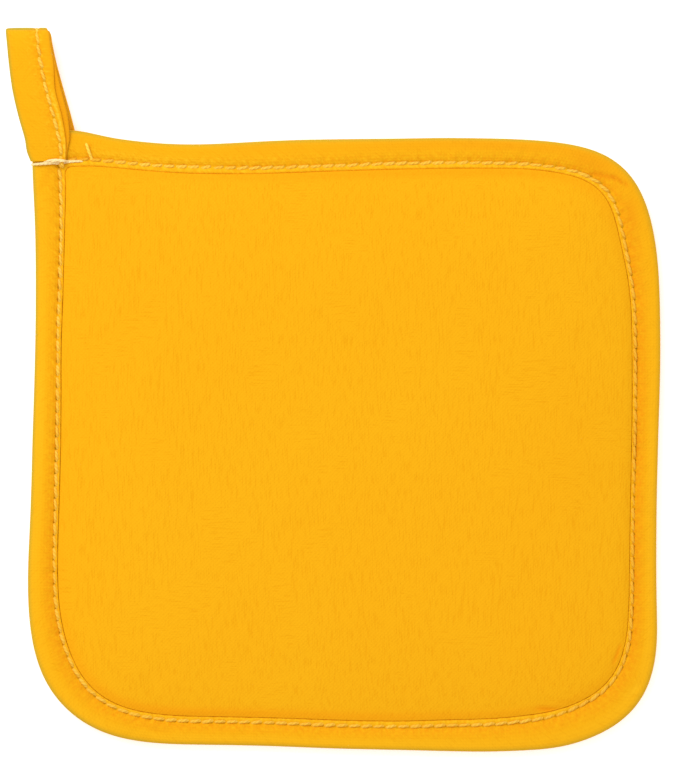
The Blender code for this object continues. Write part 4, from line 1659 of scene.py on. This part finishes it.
class Seamstress:
    """Makes thread with Geometry Nodes: rows of stitches, and strands along given lines."""

    def __init__(self) -> None:
        """Build both node trees."""
        self.stitch_tree = self.make_stitch_tree()
        self.strand_tree = self.make_strand_tree()

    def new_tree(
        self, name: str, sockets: tuple[tuple[str, str, Any], ...]
    ) -> tuple[bpy.types.NodeTree, bpy.types.Node]:
        """Start a tree with its named inputs and its one output.

        Args:
            name: The tree's name.
            sockets: Name, type and first value of each input after the path.

        Returns:
            The tree and its input node.
        """
        tree = bpy.data.node_groups.new(name, "GeometryNodeTree")
        tree.interface.new_socket("Path", in_out="INPUT", socket_type="NodeSocketGeometry")
        for socket_name, kind, value in sockets:
            socket = tree.interface.new_socket(
                socket_name, in_out="INPUT", socket_type=f"NodeSocket{kind}"
            )
            if value is not None:
                socket.default_value = value
        tree.interface.new_socket("Thread", in_out="OUTPUT", socket_type="NodeSocketGeometry")
        return tree, add_node(tree, "NodeGroupInput")

    def tube(
        self, tree: bpy.types.NodeTree, curve: bpy.types.NodeSocket, radius: bpy.types.NodeSocket,
        sides: int,
    ) -> bpy.types.NodeSocket:
        """Give a line its round body, and note each place along and around it.

        Args:
            tree: The tree.
            curve: The line.
            radius: The thread's radius.
            sides: How many sides the body has.

        Returns:
            The body.
        """
        noted = add_node(
            tree, "GeometryNodeStoreNamedAttribute", {"data_type": "FLOAT", "domain": "POINT"},
            {
                "Geometry": curve, "Name": THREAD_ALONG,
                "Value": add_node(tree, "GeometryNodeSplineParameter").outputs["Length"],
            },
        )
        ring = add_node(
            tree, "GeometryNodeCurvePrimitiveCircle", {}, {"Resolution": sides, "Radius": 1.0}
        )
        turned = add_node(
            tree, "GeometryNodeStoreNamedAttribute",
            {"data_type": "FLOAT_VECTOR", "domain": "POINT"},
            {
                "Geometry": ring.outputs["Curve"], "Name": THREAD_AROUND,
                "Value": add_node(tree, "GeometryNodeInputPosition").outputs["Position"],
            },
        )
        body = add_node(
            tree, "GeometryNodeCurveToMesh", {},
            {
                "Curve": noted.outputs["Geometry"], "Profile Curve": turned.outputs["Geometry"],
                "Scale": radius, "Fill Caps": True,
            },
        )
        return body.outputs["Mesh"]

    def finish_tree(
        self, tree: bpy.types.NodeTree, body: bpy.types.NodeSocket, material: bpy.types.NodeSocket,
    ) -> None:
        """End a tree: real geometry, smooth, in its material."""
        real = add_node(tree, "GeometryNodeRealizeInstances", {}, {"Geometry": body})
        smooth = add_node(
            tree, "GeometryNodeSetShadeSmooth", {}, {"Geometry": real.outputs["Geometry"]}
        )
        dressed = add_node(
            tree, "GeometryNodeSetMaterial", {},
            {"Geometry": smooth.outputs["Geometry"], "Material": material},
        )
        add_node(tree, "NodeGroupOutput", {}, {"Thread": dressed.outputs["Geometry"]})

    def make_stitch_tree(self) -> bpy.types.NodeTree:
        """Build the tree that sets one stitch on each step of a path."""
        tree, given = self.new_tree(
            "topstitches",
            (
                ("Stitch Count", "Int", 10), ("Stitch Length", "Float", 0.004),
                ("Stitch Rise", "Float", 0.0004), ("End Depth", "Float", 0.0005),
                ("Thread Radius", "Float", 0.0004), ("Flatness", "Float", 1.36),
                ("Slant", "Float", 0.1), ("Unevenness", "Float", 0.1), ("Seed", "Int", 1),
                ("Material", "Material", None),
            ),
        )
        line = add_node(tree, "GeometryNodeMeshToCurve", {}, {"Mesh": given.outputs["Path"]})
        steps = add_node(
            tree, "GeometryNodeResampleCurve", {"mode": "COUNT"},
            {"Curve": line.outputs["Curve"], "Count": given.outputs["Stitch Count"]},
        )
        known = {socket.name: socket for socket in given.outputs if socket.name}
        known["place"] = add_node(tree, "GeometryNodeSplineParameter").outputs["Factor"]
        known["thread_tone"] = add_node(
            tree, "GeometryNodeInputNamedAttribute", {"data_type": "FLOAT"}, {"Name": STITCH_TONE},
        ).outputs["Attribute"]
        for step, (name, low, high) in enumerate(
            (
                ("any turn", -1.0, 1.0), ("any length", 0.95, 1.02), ("any breadth", 0.85, 1.12),
                ("any height", 0.9, 1.15), ("any tint", 0.6, 1.0),
            ),
            start=1,
        ):
            own_seed = {0: known["Seed"], 1: float(step)}
            seed = add_node(tree, "ShaderNodeMath", {"operation": "ADD"}, own_seed)
            drawn = add_node(
                tree, "FunctionNodeRandomValue", {"data_type": "FLOAT"},
                {2: low, 3: high, "Seed": seed.outputs["Value"]},
            )
            known[name] = drawn.outputs[1]
        for result, operation, *values in (
            ("half", "MULTIPLY", "Stitch Length", 0.5), ("shoulder", "MULTIPLY", "half", 0.74),
            ("half back", "MULTIPLY", "half", -1.0),
            ("shoulder back", "MULTIPLY", "shoulder", -1.0),
            ("sunk", "MULTIPLY", "End Depth", -1.0), ("angle", "MULTIPLY", "place", math.pi),
            ("swell", "SINE", "angle"), ("fullness", "MULTIPLY_ADD", "swell", 0.3, 0.72),
            ("radius", "MULTIPLY", "fullness", "Thread Radius"),
            ("astray", "MULTIPLY", "any turn", "Unevenness"), ("turn", "ADD", "Slant", "astray"),
            ("breadth", "MULTIPLY", "any breadth", "Flatness"),
            ("tint", "MULTIPLY", "any tint", "thread_tone"),
        ):
            taken = {place: known.get(value, value) for place, value in enumerate(values)}
            worked = add_node(tree, "ShaderNodeMath", {"operation": operation}, taken)
            known[result] = worked.outputs["Value"]
        ends = [
            add_node(
                tree, "ShaderNodeCombineXYZ", {}, {"X": known[reach], "Z": known[height]}
            ).outputs["Vector"]
            for reach, height in (
                ("half back", "sunk"), ("shoulder back", "Stitch Rise"),
                ("shoulder", "Stitch Rise"), ("half", "sunk"),
            )
        ]
        arc = add_node(
            tree, "GeometryNodeCurvePrimitiveBezierSegment", {"mode": "POSITION"},
            {
                "Resolution": 7, "Start": ends[0], "Start Handle": ends[1], "End Handle": ends[2],
                "End": ends[3],
            },
        )
        body = self.tube(tree, arc.outputs["Curve"], known["radius"], 8)
        outward = add_node(
            tree, "GeometryNodeInputNamedAttribute", {"data_type": "FLOAT_VECTOR"},
            {"Name": OUTWARD},
        ).outputs["Attribute"]
        tangent = add_node(tree, "GeometryNodeInputTangent").outputs["Tangent"]
        facing = add_node(
            tree, "FunctionNodeAxesToRotation", {"primary_axis": "Z", "secondary_axis": "X"},
            {"Primary Axis": outward, "Secondary Axis": tangent},
        ).outputs["Rotation"]
        euler = add_node(tree, "ShaderNodeCombineXYZ", {}, {"Z": known["turn"]})
        spin = add_node(tree, "FunctionNodeEulerToRotation", {}, {"Euler": euler.outputs["Vector"]})
        rotation = add_node(
            tree, "FunctionNodeRotateRotation", {"rotation_space": "LOCAL"},
            {"Rotation": facing, "Rotate By": spin.outputs["Rotation"]},
        )
        scale = add_node(
            tree, "ShaderNodeCombineXYZ", {},
            {"X": known["any length"], "Y": known["breadth"], "Z": known["any height"]},
        )
        sewn = add_node(
            tree, "GeometryNodeInstanceOnPoints", {},
            {
                "Points": steps.outputs["Curve"], "Instance": body,
                "Rotation": rotation.outputs["Rotation"], "Scale": scale.outputs["Vector"],
            },
        )
        tinted = add_node(
            tree, "GeometryNodeStoreNamedAttribute", {"data_type": "FLOAT", "domain": "INSTANCE"},
            {"Geometry": sewn.outputs["Instances"], "Name": THREAD_TINT, "Value": known["tint"]},
        )
        self.finish_tree(tree, tinted.outputs["Geometry"], given.outputs["Material"])
        return tree

    def make_strand_tree(self) -> bpy.types.NodeTree:
        """Build the tree that gives each line of a path its thread."""
        tree, given = self.new_tree("strands", (("Material", "Material", None),))
        line = add_node(tree, "GeometryNodeMeshToCurve", {}, {"Mesh": given.outputs["Path"]})
        width = add_node(
            tree, "GeometryNodeInputNamedAttribute", {"data_type": "FLOAT"}, {"Name": STRAND_WIDTH},
        ).outputs["Attribute"]
        radius = add_node(
            tree, "ShaderNodeMath", {"operation": "MULTIPLY"}, {0: width, 1: 0.5}
        ).outputs["Value"]
        body = self.tube(tree, line.outputs["Curve"], radius, 10)
        tinted = add_node(
            tree, "GeometryNodeStoreNamedAttribute", {"data_type": "FLOAT", "domain": "POINT"},
            {"Geometry": body, "Name": THREAD_TINT, "Value": 1.0},
        )
        self.finish_tree(tree, tinted.outputs["Geometry"], given.outputs["Material"])
        return tree

    def grow(
        self, name: str, tree: bpy.types.NodeTree, path: bpy.types.Mesh, values: dict[str, Any],
    ) -> bpy.types.Object:
        """Run a tree on a path and keep the result as a plain mesh.

        Args:
            name: The piece's name.
            tree: The tree.
            path: The path's mesh.
            values: The tree's inputs, by name.

        Returns:
            The finished piece.
        """
        carrier = bpy.data.objects.new(name, path)
        bpy.context.scene.collection.objects.link(carrier)
        modifier = carrier.modifiers.new("thread", "NODES")
        modifier.node_group = tree
        for item in tree.interface.items_tree:
            if item.item_type == "SOCKET" and item.name in values:
                modifier[item.identifier] = values[item.name]
        graph = bpy.context.evaluated_depsgraph_get()
        mesh = bpy.data.meshes.new_from_object(carrier.evaluated_get(graph))
        mesh.name = name
        carrier.modifiers.remove(modifier)
        carrier.data = mesh
        return carrier


def path_mesh(
    lines: list[np.ndarray], vectors: np.ndarray | None, marks: dict[str, np.ndarray]
) -> bpy.types.Mesh:
    """Make a mesh of edges alone, for thread to follow.

    Args:
        lines: The lines' points in millimetres.
        vectors: The direction out of the cloth at each point, if it is needed.
        marks: Named values for each point, as the thread needs them.

    Returns:
        The mesh.
    """
    points: list[list[float]] = []
    edges: list[tuple[int, int]] = []
    for line in lines:
        first = len(points)
        points += (MM * line).tolist()
        edges += [(first + i, first + i + 1) for i in range(len(line) - 1)]
    mesh = bpy.data.meshes.new("thread_path")
    mesh.from_pydata(points, edges, [])
    if vectors is not None:
        attribute = mesh.attributes.new(OUTWARD, "FLOAT_VECTOR", "POINT")
        attribute.data.foreach_set("vector", vectors.astype(np.float32).ravel())
    set_marks(mesh, marks)
    return mesh


@dataclass
class Stitching:
    """One row of topstitches in thick light thread, each sunk into its needle holes."""

    name: str
    points: np.ndarray
    outward: np.ndarray
    thread_tone: np.ndarray
    count: int
    pitch: float
    material: bpy.types.Material
    thread_width: float = 1.1
    rise: float = 0.4
    end_depth: float = 0.5
    gap: float = 0.5
    slant: float = 8.0
    unevenness: float = 5.0
    seed: int = 3

    def build(self, seamstress: Seamstress) -> bpy.types.Object:
        """Sew the row.

        Args:
            seamstress: Holds the node tree.

        Returns:
            The stitches as one piece.
        """
        piece = seamstress.grow(
            self.name, seamstress.stitch_tree,
            path_mesh([self.points], self.outward, {STITCH_TONE: self.thread_tone}),
            {
                "Stitch Count": self.count, "Stitch Length": MM * (self.pitch - self.gap),
                "Stitch Rise": MM * self.rise, "End Depth": MM * self.end_depth,
                "Thread Radius": MM * 0.5 * self.thread_width, "Slant": math.radians(self.slant),
                "Unevenness": math.radians(self.unevenness), "Seed": self.seed,
                "Material": self.material,
            },
        )
        settle(piece, "sewing_thread")
        return piece


class TackRow(NamedTuple):
    """A place along the tack: its middle, how broad the bundle is, and how far it stands up."""

    x: float
    y: float
    breadth: float
    rise: float


@dataclass
class CornerTack:
    """The cream bar of thread that closes the loop: strands side by side, pulled in tight."""

    surface: Surface
    material: bpy.types.Material
    strands: int = 7
    strand_width: float = 0.66
    steps: int = 60
    rows: tuple[TackRow, ...] = (
        TackRow(-99.1, 88.75, 0.95, 0.45), TackRow(-97.0, 88.75, 1.0, 0.6),
        TackRow(-95.2, 88.9, 1.05, 0.6), TackRow(-93.4, 89.3, 1.7, 0.3),
        TackRow(-91.2, 89.6, 2.2, 0.1), TackRow(-89.4, 89.6, 1.9, 0.1),
        TackRow(-87.8, 89.6, 1.2, 0.1), TackRow(-85.6, 89.7, 1.0, 0.1),
        TackRow(-82.2, 89.8, 0.85, 0.0),
    )

    def build(self, seamstress: Seamstress) -> bpy.types.Object:
        """Lay the strands over the cloth.

        Args:
            seamstress: Holds the node tree.

        Returns:
            The tack as one piece.
        """
        rows = np.array(self.rows)
        x = np.linspace(rows[0, 0], rows[-1, 0], self.steps)
        middle = np.interp(x, rows[:, 0], rows[:, 1])
        breadth = np.interp(x, rows[:, 0], rows[:, 2])
        rise = np.interp(x, rows[:, 0], rows[:, 3])
        share = (x - x[0]) / (x[-1] - x[0])
        lines, widths = [], []
        draw = np.random.default_rng(7)
        for index in range(self.strands):
            lay = 2.0 * index / (self.strands - 1) - 1.0
            sway = 0.35 * np.sin(2.0 * math.pi * (1.4 * share + draw.random()))
            lay_here = np.clip(lay + sway, -1.0, 1.0)
            y = middle + 0.5 * (breadth - self.strand_width) * lay_here
            ground = np.array([self.surface.height(a, b) for a, b in zip(x, y)])
            ground = np.convolve(np.pad(ground, 2, mode="edge"), np.full(5, 0.2), mode="valid")
            heap = 0.55 * np.clip(breadth - 0.7, 0.0, None) * (1.0 - lay_here**2)
            ends = np.clip(np.minimum(share, 1.0 - share) / 0.05, 0.0, 1.0)
            z = ground + 0.2 + rise + heap - 0.7 * (1.0 - smooth_step(ends))
            lines.append(np.column_stack([x, y, z]))
            fullness = np.clip(0.35 + 0.35 * breadth, 0.6, 1.0)
            widths.append(self.strand_width * fullness * (0.75 + 0.25 * smooth_step(ends)))
        piece = seamstress.grow(
            "corner_tack", seamstress.strand_tree,
            path_mesh(lines, None, {STRAND_WIDTH: MM * np.concatenate(widths)}),
            {"Material": self.material},
        )
        settle(piece, "tack_thread")
        return piece


@dataclass
class ThreadTail:
    """The loose end of sewing thread that stands up beside the tack."""

    surface: Surface
    material: bpy.types.Material
    width: float = 0.95
    steps: int = 14
    start: tuple[float, float] = (-79.7, 90.3)
    bend: tuple[float, float] = (-80.6, 92.6)
    end: tuple[float, float] = (-81.5, 95.4)

    def build(self, seamstress: Seamstress) -> bpy.types.Object:
        """Lay the tail over the cloth.

        Args:
            seamstress: Holds the node tree.

        Returns:
            The tail as one piece.
        """
        t = np.linspace(0.0, 1.0, self.steps)[:, None]
        line = (
            np.array(self.start) * (1.0 - t) ** 2
            + 2.0 * np.array(self.bend) * t * (1.0 - t)
            + np.array(self.end) * t**2
        )
        ground = np.array([self.surface.height(a, b) for a, b in line])
        z = ground + 0.1 + 0.75 * np.sin(0.62 * math.pi * t[:, 0])
        widths = self.width * np.clip(1.0 - (t[:, 0] - 0.93) * 9.0, 0.35, 1.0)
        piece = seamstress.grow(
            "thread_tail", seamstress.strand_tree,
            path_mesh([np.column_stack([line, z])], None, {STRAND_WIDTH: MM * widths}),
            {"Material": self.material},
        )
        settle(piece, "sewing_thread")
        return piece


@dataclass
class Studio:
    """A pale floor, soft light from all round, a weak key from the upper left, the camera."""

    image_height_px: int = 764
    px_per_mm: float = 3.16
    view_x: float = -1.27
    view_y: float = 19.94
    view_z: float = 4.0
    focal_length: float = 250.0
    sensor: float = 36.0
    surround: float = 0.95
    key_power: float = 10.0
    key_place: tuple[float, float, float] = (-0.6, 0.8, 1.1)
    key_size: float = 0.7
    floor_size: float = 4.0
    floor_glow: float = 0.36

    def add_floor(self) -> None:
        """Lay the pale floor just under the pot holder."""
        half = 0.5 * self.floor_size
        corners = [(-half, -half), (half, -half), (half, half), (-half, half)]
        mesh = bpy.data.meshes.new("floor")
        mesh.from_pydata([(x, y, -0.1 * MM) for x, y in corners], [], [(0, 1, 2, 3)])
        values = {
            "Base Color": linear_colour("#efefef"), "Roughness": 0.9, "Specular IOR Level": 0.0,
            "Emission Color": linear_colour("#ffffff"), "Emission Strength": self.floor_glow,
        }
        material = start_material("floor_paint", values)[0]
        place(mesh, material)

    def add_light(self) -> None:
        """Light the scene from all round, with a broad lamp at the upper left."""
        world = bpy.data.worlds.new("studio")
        bpy.context.scene.world = world
        world.use_nodes = True
        sky = world.node_tree.nodes["Background"]
        sky.inputs["Color"].default_value = linear_colour("#ffffff")
        sky.inputs["Strength"].default_value = self.surround
        lamp = bpy.data.lights.new("key", "AREA")
        lamp.energy = self.key_power
        lamp.size = self.key_size
        holder = bpy.data.objects.new("key", lamp)
        holder.location = self.key_place
        holder.rotation_euler = (-Vector(self.key_place)).to_track_quat("-Z", "Y").to_euler()
        bpy.context.scene.collection.objects.link(holder)

    def add_camera(self) -> None:
        """Look straight down, so that the picture's scale is right at the cloth."""
        camera = bpy.data.cameras.new("camera")
        camera.lens = self.focal_length
        camera.sensor_width = self.sensor
        seen = self.image_height_px / self.px_per_mm
        distance = seen * self.focal_length / self.sensor
        holder = bpy.data.objects.new("camera", camera)
        holder.location = (MM * self.view_x, MM * self.view_y, MM * (self.view_z + distance))
        bpy.context.scene.collection.objects.link(holder)
        bpy.context.scene.camera = holder

    def build(self) -> None:
        """Set up the whole studio."""
        bpy.context.scene.view_settings.view_transform = "Standard"
        self.add_floor()
        self.add_light()
        self.add_camera()


def main() -> None:
    """Build every piece in order."""
    logging.basicConfig(level=logging.INFO, format="%(name)s: %(message)s")
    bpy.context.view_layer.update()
    plan = Plan()
    edge_stitches = 174
    edge_pitch = plan.seam_lengths()[-1] / edge_stitches
    cloth = {"light": "#ebaf18", "dark": "#df9a0f", "warm": "#fff7ec", "thread_spacing": 0.65}
    panel = Cotton(
        "panel_plain_weave_cotton", weave=Weave.STRAIGHT, streak_share=0.38, thread_share=0.05,
        **cloth,
    )
    tape = {"weave": Weave.BIAS, "streak_share": 0.3, "thread_share": 0.06}
    binding_finish = TapeCotton("binding_bias_cut_cotton", hole_pitch=edge_pitch, **cloth, **tape)
    pieces: list[bpy.types.Object] = []

    pieces.append(Pad(plan, panel).build(Filling()))
    binding = Binding(plan, binding_finish, edge_stitches)
    pieces.append(binding.build())
    loop = HangingLoop(plan, binding_finish)
    # A lighter colour for the loop's painted light on its ridge and back leg.
    loop.finish = TapeCotton(
        "loop_bias_cut_cotton", hole_pitch=loop.pitch(), painted_light="#fbc234", **cloth, **tape
    )
    pieces.append(loop.build())
    surface = Surface(pieces)

    seamstress = Seamstress()
    thread = Thread("spun_polyester_thread_light_yellow", "#efc24c", "#e2a227").make()
    # A lighter copy of the sewing thread: painted light on the loose end, which stands up into the
    # light.
    loose = Thread("spun_polyester_thread_loose_end", "#fbd24e", "#f2b83a").make()
    cream = Thread("spun_cotton_thread_cream", "#f9e0a4", "#ebc985").make()
    for name, path, count, pitch in (
        ("topstitches_front", binding.seam_path(True), edge_stitches - 1, edge_pitch),
        ("topstitches_back", binding.seam_path(False), edge_stitches - 1, edge_pitch),
        ("topstitches_loop", loop.seam_path(True), loop.stitch_count, loop.pitch()),
        ("topstitches_loop_inside", loop.seam_path(False), loop.stitch_count, loop.inside_pitch),
    ):
        row = Stitching(name, *path, count, pitch, thread)
        pieces.append(row.build(seamstress))
    pieces.append(CornerTack(surface, cream).build(seamstress))
    pieces.append(ThreadTail(surface, loose).build(seamstress))
    for piece in pieces:
        LOG.info("%s: %d faces", piece.name, len(piece.data.polygons))

    Studio().build()


if __name__ == "__main__":
    main()
